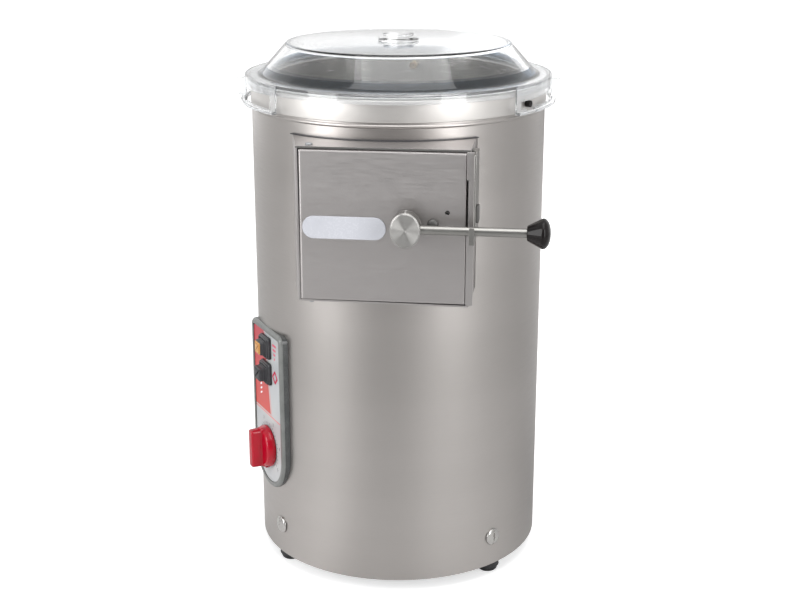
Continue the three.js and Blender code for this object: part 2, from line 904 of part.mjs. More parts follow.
// The pipe rises between liner and casing and turns inwards to the spray nozzle
function waterPipe() {
  const tip = linerInner - nozzleProud;
  const rise = post(pipeRadius, waterHeight - pipeRadius, nozzleHeight, boltSides);
  const nozzle = dowel(nozzleRadius, tip, pipeReach + pipeRadius / 2, 0, nozzleHeight, boltSides);
  const jet = dowel(nozzleBore, tip - overrun, linerInner, 0, nozzleHeight, boltSides);
  const pipe = rise.translate([0, -pipeReach, 0]).add(nozzle);
  return atAzimuth(pipe.subtract(jet), 2 * quarter);
}

function waterInlet() {
  const back = pipeReach + pipeRadius + seatGap;
  const seat = casingRadius + seatGap;
  return atAzimuth(turnedOut([
    [0, back], [inletSpigot, back], [inletSpigot, seat], [inletFlangeRadius, seat],
    [inletFlangeRadius, seat + inletFlangeDepth], [inletThread, seat + inletFlangeDepth],
    [inletThread, seat + inletLength], [inletBore, seat + inletLength],
    [inletBore, seat + inletFlangeDepth], [0, seat + inletFlangeDepth],
  ], 0, waterHeight, turnedSides), 2 * quarter);
}

function cableGland() {
  const seat = casingRadius + seatGap;
  return atAzimuth(turnedOut([
    [glandBore, seat - glandThreadLength], [glandThread, seat - glandThreadLength], [glandThread, seat],
    [glandRadius, seat], [glandRadius, seat + glandDepth], [glandDomeRadius, seat + glandDepth],
    [glandDomeRadius, seat + glandDomeLength], [glandBore, seat + glandDomeLength + glandBore],
    [glandBore, seat - glandThreadLength],
  ], 0, glandHeight, turnedSides), glandAzimuth);
}

// The chute: a sheet box from the liner's wall to the door, with a lip that carries the gasket
function doorFrame() {
  const outer = chuteHole(0);
  const inside = raised(shapeOf([
    [chuteLeft + chuteWall, -chuteReach - overrun],
    [chuteRight - chuteWall, -chuteReach - overrun],
    [chuteRight - chuteWall, -chuteReach],
    [chuteRearRight - chuteWall, -chuteRearReach],
    [chuteRearRight - chuteWall, -chuteInnerReach + overrun],
    [chuteRearLeft + chuteWall, -chuteInnerReach + overrun],
    [chuteRearLeft + chuteWall, -chuteRearReach],
    [chuteLeft + chuteWall, -chuteReach],
  ]), chuteBottom + chuteWall, chuteTop - chuteWall);
  const lipSlab = block(
    chuteRearLeft, chuteRearRight, -lipFront, -lipFront + lipWall, chuteBottom, chuteTop,
  );
  const opening = facing(lipOpening(0), lipFront - lipWall - overrun, lipFront + overrun);
  const lip = lipSlab.intersect(outer).subtract(opening);
  const drum = post(linerInner, chuteBottom - overrun, chuteTop + overrun, drumSides);
  const pinHole = post(boreOf(hingePinRadius), chuteBottom - overrun, chuteTop + overrun, boltSides);
  return outer.subtract(inside).add(lip).subtract(drum)
    .subtract(pinHole.translate([pivotX, -pivotReach, 0]));
}

function lipOpening(margin) {
  return rectangle(
    chuteLeft + chuteWall + lipDepth - margin, chuteRight - chuteWall - lipDepth + margin,
    chuteBottom + chuteWall + lipDepth - margin, chuteTop - chuteWall - lipDepth + margin,
  );
}

// The gasket is thinner on the hinge side, where the open door's edge swings over it
function doorGasket() {
  const outer = rectangle(
    chuteLeft + chuteWall + seatGap, chuteRight - chuteWall - seatGap,
    chuteBottom + chuteWall + seatGap, chuteTop - chuteWall - seatGap,
  );
  const back = gasketFront - gasketThickness;
  const relief = block(
    chuteLeft, pivotX, -gasketFront - overrun, gasketRelief - gasketFront, chuteBottom, chuteTop,
  );
  return facing(outer, back, gasketFront).subtract(relief)
    .subtract(facing(lipOpening(gasketStep), back - overrun, gasketFront + overrun));
}

// A folded door pan, rounded about the hinge pin at the back of its left edge
function doorPlate() {
  const plan = new THREE.Shape();
  plan.absarc(pivotX, -pivotReach, doorRound, Math.PI / 2, Math.PI, false);
  plan.absarc(doorLeft + doorCorner, doorCorner - doorFront, doorCorner, Math.PI, Math.PI * 1.5, false);
  plan.lineTo(doorRight - doorEdge, -doorFront);
  plan.lineTo(doorRight, -doorFront + doorEdge);
  plan.lineTo(doorRight, -doorBack);
  const pocket = block(
    pivotX + stileWidth, doorRight - doorSkin, -doorFront + doorSkin, -doorBack + overrun,
    doorBottom + doorSkin, doorTop - doorSkin,
  );
  const holes = [
    [sightHoleRadius, sightHoleX, sightHoleZ],
    [boreOf(doorBoltShank), doorBoltX, doorBoltZ],
    [boreOf(spindleRadius), leverX, leverZ],
  ];
  const pinHole = post(boreOf(hingePinRadius), doorBottom - overrun, doorTop + overrun, boltSides);
  let body = raised(plan, doorBottom, doorTop, arcSteps).subtract(pocket);
  body = body.subtract(pinHole.translate([pivotX, -pivotReach, 0]));
  for (const [radius, x, z] of holes) {
    body = body.subtract(dowel(radius, doorFront - doorThickness / 2, doorFront + overrun, x, z, boltSides));
  }
  return body;
}

function hingePin() {
  const headBottom = chuteTop + seatGap;
  return turned([
    [0, chuteBottom - hingePinTail], [hingePinRadius, chuteBottom - hingePinTail],
    [hingePinRadius, headBottom], [hingePinHead, headBottom],
    [hingePinHead, headBottom + hingePinHeadHeight], [0, headBottom + hingePinHeadHeight],
  ], boltSides).translate([pivotX, -pivotReach, 0]);
}

function badgePlate() {
  const half = badgeHeight / 2;
  const shape = new THREE.Shape();
  shape.absarc(badgeX + badgeLength / 2 - half, badgeZ, half, -Math.PI / 2, Math.PI / 2, false);
  shape.absarc(badgeX - badgeLength / 2 + half, badgeZ, half, Math.PI / 2, Math.PI * 1.5, false);
  const back = doorFront + seatGap;
  return facing(shape, back, back + badgeThickness, arcSteps);
}

function doorBolt() {
  const seat = doorFront + seatGap;
  return turnedOut([
    [0, seat - doorBoltLength], [doorBoltShank, seat - doorBoltLength], [doorBoltShank, seat],
    [doorBoltRadius, seat], [doorBoltRadius, seat + doorBoltHead / 2],
    [doorBoltRadius / 2, seat + doorBoltHead], [0, seat + doorBoltHead],
  ], doorBoltX, doorBoltZ, boltSides);
}

function leverBoss() {
  return turnedOut([
    [boreOf(spindleRadius, turnedSides), doorFront + seatGap], [bossRadius, doorFront + seatGap],
    [bossRadius, hubBack - seatGap], [boreOf(spindleRadius, turnedSides), hubBack - seatGap],
    [boreOf(spindleRadius, turnedSides), doorFront + seatGap],
  ], leverX, leverZ, turnedSides);
}

// The lever's oval hub with the spindle that passes through boss and door
function leverHub() {
  const tail = doorFront - doorSkin - spindleTail;
  const head = turnedOut([
    [0, hubBack], [hubHalfHeight - hubEdge, hubBack], [hubHalfHeight, hubBack + hubEdge],
    [hubHalfHeight, frontReach - hubEdge], [hubHalfHeight - hubEdge, frontReach], [0, frontReach],
  ], 0, leverZ, hubSides);
  const oval = head.scale([hubHalfWidth / hubHalfHeight, 1, 1]).translate([leverX, 0, 0]);
  const spindle = dowel(spindleRadius, tail, hubBack + overrun, leverX, leverZ, turnedSides);
  const socketStart = leverX + hubHalfWidth - rodSocket;
  return oval.add(spindle)
    .subtract(alongX(boreOf(rodRadius), socketStart, leverX + hubHalfWidth + overrun));
}

function alongX(radius, from, to) {
  const body = post(radius, from, to, boltSides).rotate([0, quarter, 0]);
  return body.translate([0, -rodReach, leverZ]);
}

function leverNut() {
  const front = doorFront - doorSkin - seatGap;
  const back = front - leverNutDepth;
  return dowel(leverNutRadius, back, front, leverX, leverZ, nutSides)
    .subtract(dowel(boreOf(spindleRadius), back - overrun, front + overrun, leverX, leverZ, boltSides));
}

function leverRod() {
  const start = leverX + hubHalfWidth - rodSocket + seatGap;
  return alongX(rodRadius, start, knobStart + knobSocket - seatGap);
}

function leverKnob() {
  const bore = boreOf(rodRadius, turnedSides);
  const shoulder = knobEnd - knobDome;
  const knob = turned([
    [bore, knobStart], [knobNarrow, knobStart], [knobWide, shoulder - knobDome / 2],
    [knobWide, shoulder], [knobWide * knobShoulderShare, knobEnd - knobDome / 3],
    [knobWide * knobCrownShare, knobEnd],
    [0, knobEnd], [0, knobStart + knobSocket], [bore, knobStart + knobSocket], [bore, knobStart],
  ], turnedSides);
  return knob.rotate([0, quarter, 0]).translate([0, -rodReach, leverZ]);
}

// The catch's nose lies under the rod, its upper part stays behind it, and its foot is on the chute
function catchBracket() {
  const left = Math.max(chuteRight, chuteRearRight) + seatGap;
  const restTop = leverZ - rodRadius - catchPlay;
  const outline = shapeOf([
    [-catchRearReach, catchBottom], [-catchRearReach, catchTop], [-catchStepReach, catchTop],
    [-catchStepReach, restTop], [-catchNoseReach, restTop], [-catchNoseReach, catchBottom],
  ]);
  const body = new THREE.ExtrudeGeometry(outline, { depth: catchWall, bevelEnabled: false });
  const upright = body.rotateX(Math.PI / 2).rotateZ(Math.PI / 2);
  const footRight = left + catchOffset + catchWall / 2;
  const footFront = -catchRearReach - catchFoot;
  const foot = block(left, footRight, footFront, -catchRearReach, catchBottom, catchTop);
  return solid(upright.translate(left + catchOffset, 0, 0)).add(foot);
}

// Control panel outline: straight top, semicircular bottom
function panelOutline(inset, corner) {
  const half = panelHalfWidth - inset;
  const centreZ = panelBottom + panelHalfWidth;
  const top = panelTop - inset;
  const shape = new THREE.Shape();
  shape.absarc(0, centreZ, half, Math.PI, 2 * Math.PI, false);
  shape.absarc(half - corner, top - corner, corner, 0, Math.PI / 2, false);
  shape.absarc(-half + corner, top - corner, corner, Math.PI / 2, Math.PI, false);
  return shape;
}

function panelBezel() {
  const outer = panelOutline(bezelBevel, panelCorner - bezelBevel);
  const depth = bezelReach - linerInner;
  const rim = new THREE.ExtrudeGeometry(outer, {
    depth: depth - bezelBevel, bevelEnabled: true, bevelThickness: bezelBevel, bevelSize: bezelBevel,
    bevelSegments: 1, curveSegments: arcSteps,
  });
  const body = solid(rim.rotateX(Math.PI / 2).translate(0, -linerInner, 0));
  const inside = panelOutline(bezelBorder, panelCorner / 2);
  const hole = facing(inside, linerInner - 2 * overrun, bezelReach + overrun, arcSteps);
  const drum = post(casingRadius + seatGap, panelBottom - overrun, panelTop + overrun, drumSides);
  return body.subtract(hole).subtract(atAzimuth(drum, -panelAzimuth));
}

function panelFace() {
  let body = facing(panelOutline(bezelBorder + seatGap, panelCorner / 2), faceBack, faceFront, arcSteps);
  const holes = [
    [boreOf(timerSpindleRadius), 0, timerZ],
    [boreOf(plungerRadius), buttonU, startZ],
    [boreOf(plungerRadius), buttonU, stopZ],
  ];
  for (const [radius, u, z] of holes) {
    body = body.subtract(dowel(radius, faceBack - overrun, faceFront + overrun, u, z, boltSides));
  }
  return body;
}

function timerBody() {
  const front = faceBack - seatGap;
  const [bottom, top] = [timerZ - timerHalf, timerZ + timerHalf];
  const body = block(-timerHalf, timerHalf, -front, -front + timerDepth, bottom, top);
  const boreEnd = front - timerSpindleTail - seatGap;
  return body.subtract(dowel(boreOf(timerSpindleRadius), boreEnd, front + overrun, 0, timerZ, boltSides));
}

function timerSpindle() {
  const front = knobFoot + timerSocket - seatGap;
  return dowel(timerSpindleRadius, faceBack - seatGap - timerSpindleTail, front, 0, timerZ, boltSides);
}

// The timer's knob: a round base with a grip bar and a small pointer
function timerKnob() {
  const baseTop = knobFoot + timerKnobBase;
  const base = turnedOut([
    [0, knobFoot], [timerKnobRadius, knobFoot], [timerKnobRadius, knobFoot + timerKnobBase / 3],
    [timerKnobTopRadius, baseTop], [0, baseTop],
  ], 0, timerZ, turnedSides);
  const gripShape = roundedRectangle(
    -timerGripHalfWidth, timerGripHalfWidth,
    timerZ - timerGripHalfLength, timerZ + timerGripHalfLength, timerGripCorner,
  );
  const grip = facing(gripShape, baseTop - overrun, timerKnobReach, 3);
  const pointer = block(
    -timerPointerWidth / 2, timerPointerWidth / 2, -baseTop + timerKnobBase / 2, -knobFoot,
    timerZ - timerKnobRadius - timerPointerLength, timerZ - timerKnobTopRadius,
  );
  const socketEnd = knobFoot + timerSocket;
  const socket = dowel(boreOf(timerSpindleRadius), knobFoot - overrun, socketEnd, 0, timerZ, boltSides);
  return base.add(grip).add(pointer).subtract(socket);
}

// A four-sided frustum from one reach to another
function frustum(halfW0, halfH0, reach0, halfW1, halfH1, reach1, u, z) {
  const body = new THREE.BoxGeometry(1, 1, 1);
  const place = body.getAttribute('position');
  for (let i = 0; i < place.count; i += 1) {
    const outer = place.getY(i) < 0;
    const halfW = outer ? halfW1 : halfW0;
    const halfH = outer ? halfH1 : halfH0;
    const reach = outer ? reach1 : reach0;
    place.setXYZ(i, u + Math.sign(place.getX(i)) * halfW, -reach, z + Math.sign(place.getZ(i)) * halfH);
  }
  return solid(body);
}

function buttonCollar(z) {
  const outer = roundedRectangle(
    buttonU - collarHalfWidth, buttonU + collarHalfWidth,
    z - collarHalfHeight, z + collarHalfHeight, collarBorder / 2,
  );
  const inner = rectangle(
    buttonU - collarHalfWidth + collarBorder, buttonU + collarHalfWidth - collarBorder,
    z - collarHalfHeight + collarBorder, z + collarHalfHeight - collarBorder,
  );
  const back = faceFront + seatGap;
  return facing(outer, back, back + collarDepth, 3)
    .subtract(facing(inner, back - overrun, back + collarDepth + overrun));
}

// A booted push button with the plunger that reaches into its switch
function pushButton(z, front) {
  const footReach = faceFront + seatGap + buttonTravel + seatGap;
  const cap = frustum(
    buttonFootHalfWidth, buttonFootHalfHeight, footReach,
    buttonCapHalfWidth, buttonCapHalfHeight, front, buttonU, z,
  );
  return cap.add(dowel(plungerRadius, faceBack - plungerTail, footReach + overrun, buttonU, z, boltSides));
}

function startLens() {
  const back = buttonReach - lensThickness + seatGap;
  const shape = rectangle(
    buttonU - buttonCapHalfWidth + lensInset, buttonU + buttonCapHalfWidth - lensInset,
    startZ - buttonCapHalfHeight + lensInset, startZ + buttonCapHalfHeight - lensInset,
  );
  return facing(shape, back, back + lensThickness);
}

function switchBlock(z) {
  const front = faceBack - seatGap;
  const body = block(
    buttonU - switchHalf, buttonU + switchHalf, -front, -front + switchDepth, z - switchHalf, z + switchHalf,
  );
  const boreEnd = faceBack - plungerTail - buttonTravel - 2 * seatGap;
  return body.subtract(dowel(boreOf(plungerRadius), boreEnd, front + overrun, buttonU, z, boltSides));
}

// One of the lid's two ears: a wall with a ramped window, a bottom flange and a grip
function lidEar() {
  const from = earAzimuth - earHalfSpan;
  const to = earAzimuth + earHalfSpan;
  const wall = sector(earInner, earOuter, from, to, earBottom, lidFlangeTop, arcSteps);
  const flange = sector(
    earOuter - seatGap, earOuter + earFlange, from, to, earBottom, earBottom + earFlangeHeight, arcSteps,
  );
  const grip = block(
    -gripHalfWidth, gripHalfWidth, -gripReach, -earOuter + seatGap, earBottom, earBottom + gripHeight,
  );
  return wall.add(flange).add(atAzimuth(grip, earAzimuth));
}

function lidEarCuts() {
  const narrowU = -earOuter * Math.sin(rad(windowNarrowHalf));
  const tallU = earOuter * Math.sin(rad(windowTallHalf));
  const railTop = studZ - studRadius - seatGap;
  const window = facing(shapeOf([
    [narrowU, railTop], [tallU, railTop - windowRamp],
    [tallU, railTop + windowTall], [narrowU, railTop + windowNarrow],
  ]), earInner * Math.cos(rad(earHalfSpan)) - overrun, earOuter + overrun);
  const clearOfRing = post(earInner - lidSkirtGap, earBottom - overrun, lidTop, drumSides);
  const windowCut = atAzimuth(window, earAzimuth).subtract(clearOfRing);
  const notch = (centre, half) => sector(
    earInner - overrun / 2, earOuter, centre - half, centre + half, earBottom - overrun, railTop + seatGap, 2,
  );
  return windowCut.add(notch(studAzimuth, notchHalfSpan))
    .add(notch(studAzimuth + releaseTurn, releaseHalfSpan));
}

function lidDome() {
  const shell = turned([
    [boreOf(lidKnobStem, drumSides), lidTop - lidWall],
    [lidDiscRadius - lidWall / 2, lidTop - lidWall],
    [lidFootRadius - lidConeWall, lidBottom],
    [lidSkirtInner, lidBottom],
    [lidSkirtInner, lidBottom - lidSkirtDrop],
    [lidRadius, lidBottom - lidSkirtDrop],
    [lidRadius, lidFlangeTop],
    [lidFootRadius, lidFlangeTop],
    [lidDiscRadius, lidTop],
    [boreOf(lidKnobStem, drumSides), lidTop],
    [boreOf(lidKnobStem, drumSides), lidTop - lidWall],
  ], drumSides);
  let body = shell.add(lidEar()).add(atAzimuth(lidEar(), 2 * quarter));
  return body.subtract(lidEarCuts()).subtract(atAzimuth(lidEarCuts(), 2 * quarter));
}

function lidKnob() {
  const bottom = lidTop + seatGap;
  const under = lidTop - lidWall - seatGap;
  return turned([
    [0, under - lidKnobBarbHeight], [lidKnobStem, under - lidKnobBarbHeight], [lidKnobBarb, under],
    [lidKnobStem, under], [lidKnobStem, bottom], [lidKnobRadius, bottom],
    [lidKnobRadius, bottom + lidKnobRing], [lidKnobWaist, bottom + lidKnobRing + seatGap],
    [lidKnobCapRadius, bottom + lidKnobHeight - lidKnobRing], [lidKnobCapRadius, bottom + lidKnobHeight],
    [0, bottom + lidKnobHeight],
  ], turnedSides);
}

// Assembly
const casing = subgroup(peeler);
add(casing, 'outer_shell', looks.satinSteel, outerShell());
add(casing, 'base_pan', looks.darkSteel, basePan());
footAzimuths.forEach((azimuth, i) => {
  const corner = subgroup(casing);
  corner.rotation.z = rad(azimuth);
  add(corner, `foot_${i + 1}`, looks.rubber, foot());
});
cornerAzimuths.forEach((azimuth, i) => {
  const corner = subgroup(casing);
  corner.rotation.z = rad(azimuth);
  add(corner, `base_screw_${i + 1}`, looks.brightSteel, baseScrew());
});
add(casing, 'top_ring', looks.brightSteel, topRing());
['bayonet_stud_right', 'bayonet_stud_left'].forEach((name, i) => {
  const corner = subgroup(casing);
  corner.rotation.z = rad(studAzimuth + 2 * quarter * i);
  add(corner, name, looks.blackPlastic, bayonetStud());
});
add(casing, 'inner_liner', looks.satinSteel, innerLiner());
add(casing, 'chamber_floor', looks.satinSteel, chamberFloor());
add(casing, 'bearing_housing', looks.castAluminium, bearingHousing());
add(casing, 'upper_bearing', looks.darkSteel, bearing(housingTop - upperBearingSink));
add(casing, 'lower_bearing', looks.darkSteel, bearing(housingBottom + bearingLand + seatGap));
add(casing, 'shaft_seal', looks.rubber, shaftSeal());
add(casing, 'drain_outlet', looks.satinSteel, drainOutlet());
add(casing, 'water_pipe', looks.brass, waterPipe());
add(casing, 'water_inlet', looks.brass, waterInlet());
add(casing, 'cable_gland', looks.blackPlastic, cableGland());
add(casing, 'motor_plate', looks.darkSteel, motorPlate());
add(casing, 'drive_belt', looks.rubber, driveBelt());
add(casing, 'door_frame', looks.satinSteel, doorFrame());
add(casing, 'door_gasket', looks.rubber, doorGasket());
add(casing, 'hinge_pin', looks.brightSteel, hingePin());
add(casing, 'catch_bracket', looks.brightSteel, catchBracket());

const motor = subgroup(casing);
motor.position.set(motorX, motorY, 0);
add(motor, 'motor_body', looks.castAluminium, motorBody());
const motorShaftTop = pulleyBottom + pulleyWidth;
add(motor, 'motor_shaft', looks.brightSteel,
  post(motorShaftRadius, motorTop - motorBoreDepth + seatGap, motorShaftTop, turnedSides));
add(motor, 'motor_pulley', looks.castAluminium,
  solidPulley(motorPulleyRadius, boreOf(motorShaftRadius, turnedSides), turnedSides));

const rotor = subgroup(peeler);
add(rotor, 'main_shaft', looks.brightSteel, mainShaft());
add(rotor, 'driven_pulley', looks.castAluminium,
  pulley(drivenRadius, pulleyHubRadius, boreOf(shaftRadius, pulleySides), pulleySides));
add(rotor, 'abrasive_disc', looks.abrasive, abrasiveDisc());
add(rotor, 'disc_nut', looks.brightSteel, discNut());

const door = subgroup(peeler);
add(door, 'door_plate', looks.satinSteel, doorPlate());
add(door, 'badge_plate', looks.white, badgePlate());
add(door, 'door_bolt', looks.brightSteel, doorBolt());
add(door, 'lever_boss', looks.brightSteel, leverBoss());
const lever = subgroup(door);
add(lever, 'lever_hub', looks.brightSteel, leverHub());
add(lever, 'lever_nut', looks.brightSteel, leverNut());
add(lever, 'lever_rod', looks.brightSteel, leverRod());
add(lever, 'lever_knob', looks.blackPlastic, leverKnob());

const panel = subgroup(peeler);
panel.rotation.z = rad(panelAzimuth);
add(panel, 'panel_bezel', looks.greyPlastic, panelBezel());
add(panel, 'panel_face', looks.panelFilm, panelFace());
add(panel, 'timer_body', looks.blackPlastic, timerBody());
add(panel, 'start_switch', looks.blackPlastic, switchBlock(startZ));
add(panel, 'stop_switch', looks.blackPlastic, switchBlock(stopZ));
add(panel, 'start_collar', looks.rubber, buttonCollar(startZ));
add(panel, 'stop_collar', looks.rubber, buttonCollar(stopZ));
const timer = subgroup(panel);
add(timer, 'timer_spindle', looks.brightSteel, timerSpindle());
add(timer, 'timer_knob', looks.redPlastic, timerKnob());
add(panel, 'start_button', looks.rubber, pushButton(startZ, buttonReach - lensThickness));
add(panel, 'start_lens', looks.amber, startLens());
add(panel, 'stop_button', looks.rubber, pushButton(stopZ, buttonReach));

const seal = ring(sealInner, sealOuter, ringTop + seatGap, ringTop + seatGap + sealHeight, drumSides);
add(peeler, 'rim_seal', looks.rubber, seal);
const lid = subgroup(peeler);
add(lid, 'lid_dome', looks.clear, lidDome());
add(lid, 'lid_knob', looks.clear, lidKnob());

export default peeler;
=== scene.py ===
import math
import bmesh
import bpy
import numpy as np
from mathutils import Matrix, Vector


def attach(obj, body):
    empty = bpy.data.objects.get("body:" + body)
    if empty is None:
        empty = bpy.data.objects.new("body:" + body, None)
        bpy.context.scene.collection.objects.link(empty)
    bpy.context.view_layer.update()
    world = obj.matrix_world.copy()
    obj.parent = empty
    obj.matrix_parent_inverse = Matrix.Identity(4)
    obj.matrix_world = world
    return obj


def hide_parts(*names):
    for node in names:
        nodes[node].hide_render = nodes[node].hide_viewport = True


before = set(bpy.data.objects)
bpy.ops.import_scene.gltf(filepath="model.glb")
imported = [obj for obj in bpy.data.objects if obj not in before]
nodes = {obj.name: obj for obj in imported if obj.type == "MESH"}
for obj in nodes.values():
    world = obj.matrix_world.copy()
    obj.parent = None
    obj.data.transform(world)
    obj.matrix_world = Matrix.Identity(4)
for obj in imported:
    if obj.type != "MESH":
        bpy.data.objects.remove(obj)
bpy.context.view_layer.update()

mm = 0.001
up = np.array([0.0, 0.0, 1.0])
scene = bpy.context.scene
print("frame loaded:", len(nodes), "nodes")


# Sideways and outward unit vectors at an azimuth, which runs from the front towards the right
def directions(azimuth):
    a = math.radians(azimuth)
    return np.array([math.cos(a), math.sin(a), 0.0]), np.array([math.sin(a), -math.cos(a), 0.0])


# Point = u * sideways + reach * outward + z * up, for whole arrays, in millimetres
def placed(u, reach, z, azimuth=0.0):
    side, out = directions(azimuth)
    u, reach, z = np.broadcast_arrays(*(np.asarray(v, float) for v in (u, reach, z)))
    return u[..., None] * side + reach[..., None] * out + z[..., None] * up


# Quads between neighbouring rows and columns of a grid, joined round where it is closed
def gridQuads(rows, columns, closeRows=False, closeColumns=False, kept=None):
    i = np.arange(rows if closeRows else rows - 1)
    j = np.arange(columns if closeColumns else columns - 1)
    i, j = np.meshgrid(i, j, indexing="ij")
    if kept is not None:
        i, j = i[kept], j[kept]
    i2, j2 = (i + 1) % rows, (j + 1) % columns
    quads = np.stack([i * columns + j, i * columns + j2, i2 * columns + j2, i2 * columns + j], -1)
    return quads.reshape(-1, 4)


# A polyline whose corners become arcs. Each corner p is set back to a and b along its sides, then blended:
# a (1 - t) squared + 2 p t (1 - t) + b t squared
def softened(points, radius, steps=4, closed=False):
    p = np.asarray(points, float)
    before, after = np.roll(p, 1, 0), np.roll(p, -1, 0)
    lengthBefore = np.linalg.norm(p - before, axis=1)
    lengthAfter = np.linalg.norm(after - p, axis=1)
    r = np.minimum(np.minimum(lengthBefore, lengthAfter) * 0.49, np.broadcast_to(radius, len(p)))
    if not closed:
        r = r.copy()
        r[0] = r[-1] = 0
    a = p + (before - p) / np.maximum(lengthBefore, 1e-9)[:, None] * r[:, None]
    b = p + (after - p) / np.maximum(lengthAfter, 1e-9)[:, None] * r[:, None]
    t = np.linspace(0, 1, steps + 1)[None, :, None]
    arcs = a[:, None] * (1 - t) ** 2 + 2 * p[:, None] * t * (1 - t) + b[:, None] * t ** 2
    flat = arcs.reshape(-1, p.shape[1])
    moved = np.linalg.norm(np.diff(flat, axis=0), axis=1) > 1e-6
    return flat[np.concatenate([[True], moved])]


# Points in millimetres and faces of any size as a mesh in metres
def asMesh(name, points, faces):
    mesh = bpy.data.meshes.new(name)
    mesh.from_pydata((np.asarray(points, float) * mm).reshape(-1, 3).tolist(), [], [list(f) for f in faces])
    return mesh


# Gives a mesh its looks, links the piece to its body and hides the CAD node that it stands for
def linked(name, mesh, material, body, replaced):
    for look in material if isinstance(material, list) else [material]:
        mesh.materials.append(look)
    piece = bpy.data.objects.new(name, mesh)
    scene.collection.objects.link(piece)
    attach(piece, body)
    if replaced:
        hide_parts(replaced)
    return piece


# Merges poles and seams, points the faces outwards and shades them smooth up to the sharp angle
def finished(name, mesh, material, body, replaced=None, sharpAngle=38, weld=2e-6):
    work = bmesh.new()
    work.from_mesh(mesh)
    bmesh.ops.remove_doubles(work, verts=work.verts, dist=weld)
    bmesh.ops.dissolve_degenerate(work, edges=work.edges, dist=1e-7)
    bmesh.ops.recalc_face_normals(work, faces=work.faces)
    work.to_mesh(mesh)
    work.free()
    mesh.shade_smooth()
    mesh.set_sharp_from_angle(angle=math.radians(sharpAngle))
    return linked(name, mesh, material, body, replaced)


# Radius and height turned about Z: (r cos t, r sin t, h), then laid along an axis through a point
def lathePoints(profile, sides, axis="z", u=0.0, z=0.0, reach=0.0, azimuth=0.0, ovalU=1.0):
    r, h = np.asarray(profile, float).T
    t = np.linspace(0, 2 * math.pi, sides, endpoint=False)[:, None]
    c, s = r[None] * np.cos(t), r[None] * np.sin(t)
    h = np.broadcast_to(h[None], c.shape)
    if axis == "z":
        return placed(u + c, reach + s, z + h, azimuth)
    if axis == "out":
        return placed(u + c * ovalU, h, z + s, azimuth)
    return placed(h, reach + c, z + s, azimuth)  # along the sideways direction


# A turned piece: its profile of radius and height is softened at the corners, then turned full circle
def lathe(name, profile, material, body, slot, replaced=None, sides=96, soften=0.0, closed=False,
          sharpAngle=38, **place):
    if np.any(np.asarray(soften) > 0):
        profile = softened(profile, soften, closed=closed)
    points = lathePoints(profile, sides, **place)
    faces = gridQuads(sides, points.shape[1], closeRows=True, closeColumns=closed)
    return finished(name, asMesh(name, points, faces), material, body, replaced, sharpAngle)


# A plain bar's profile for the lathe, between two heights
def barProfile(radius, low, high):
    return [(0, low), (radius, low), (radius, high), (0, high)]


# Outward normals of a closed outline: the mean of both edges' normals, longer at corners,
# so that walls keep their thickness
def outlineNormals(outline):
    edge = np.roll(outline, -1, 0) - outline
    normal = np.stack([edge[:, 1], -edge[:, 0]], 1)
    normal /= np.maximum(np.linalg.norm(normal, axis=1), 1e-9)[:, None]
    both = normal + np.roll(normal, 1, 0)
    return both / np.maximum((both ** 2).sum(1) / 2, 1e-6)[:, None]


# A profile (inset, reach) carried round a closed outline (u, z):
# point = outline - inset * normal, at that reach
def carriedPoints(outline, profile, azimuth=0.0):
    normal = outlineNormals(outline)
    inset, reach = np.asarray(profile, float).T
    uz = outline[:, None] - inset[None, :, None] * normal[:, None]
    return placed(uz[..., 0], np.broadcast_to(reach[None], uz.shape[:2]), uz[..., 1], azimuth)


# A piece made of those points; an open profile gets a flat face at either end
def carried(name, outline, profile, material, body, replaced=None, azimuth=0.0, closed=False):
    points = carriedPoints(outline, profile, azimuth)
    rows, columns = points.shape[:2]
    faces = [list(q) for q in gridQuads(rows, columns, closeRows=True, closeColumns=closed)]
    if not closed:
        faces.append([i * columns for i in range(rows)])
        faces.append([i * columns + columns - 1 for i in range(rows)][::-1])
    return finished(name, asMesh(name, points, faces), material, body, replaced)


# A rounded rectangle, anticlockwise: corner centre + radius (cos t, sin t), a quarter turn each
def roundedBox(u0, u1, z0, z1, corner, steps=6):
    corner = np.broadcast_to(corner, 4)
    centres = [(u1, z0, 1, -1), (u1, z1, 1, 1), (u0, z1, -1, 1), (u0, z0, -1, -1)]
    start = [-90, 0, 90, 180]
    t = np.radians(np.linspace(0, 90, steps + 1))
    parts = []
    for (u, z, su, sz), a, r in zip(centres, start, corner):
        turn = t + math.radians(a)
        parts.append(np.stack([u - su * r + r * np.cos(turn), z - sz * r + r * np.sin(turn)], 1))
    return np.concatenate(parts)


# A bar section (r, z) swept along part of a circle and closed at both ends: (r sin a, -r cos a, z)
def sweptBar(name, outline, azimuths, material, body):
    a = np.radians(azimuths)[:, None]
    r, z = outline[:, 0][None], outline[:, 1][None]
    points = np.stack([r * np.sin(a), -r * np.cos(a), z + 0 * a], -1)
    n, m = points.shape[:2]
    faces = [list(q) for q in gridQuads(n, m, closeColumns=True)]
    faces += [list(range(m)), [(n - 1) * m + j for j in range(m)][::-1]]
    return finished(name, asMesh(name, points, faces), material, body)


# Two skins with the same quads, joined by a wall along every edge that only one quad has
def closedShell(name, outer, inner, quads):
    count = outer[..., 0].size
    edges = np.concatenate([quads[:, [0, 1]], quads[:, [1, 2]], quads[:, [2, 3]], quads[:, [3, 0]]])
    key = np.sort(edges, 1) @ np.array([count, 1])
    _, first, times = np.unique(key, return_index=True, return_counts=True)
    rim = edges[first[times == 1]]
    walls = np.stack([rim[:, 1], rim[:, 0], rim[:, 0] + count, rim[:, 1] + count], 1)
    return asMesh(name, np.concatenate([outer.reshape(-1, 3), inner.reshape(-1, 3)]),
                  np.concatenate([quads, quads[:, ::-1] + count, walls]))


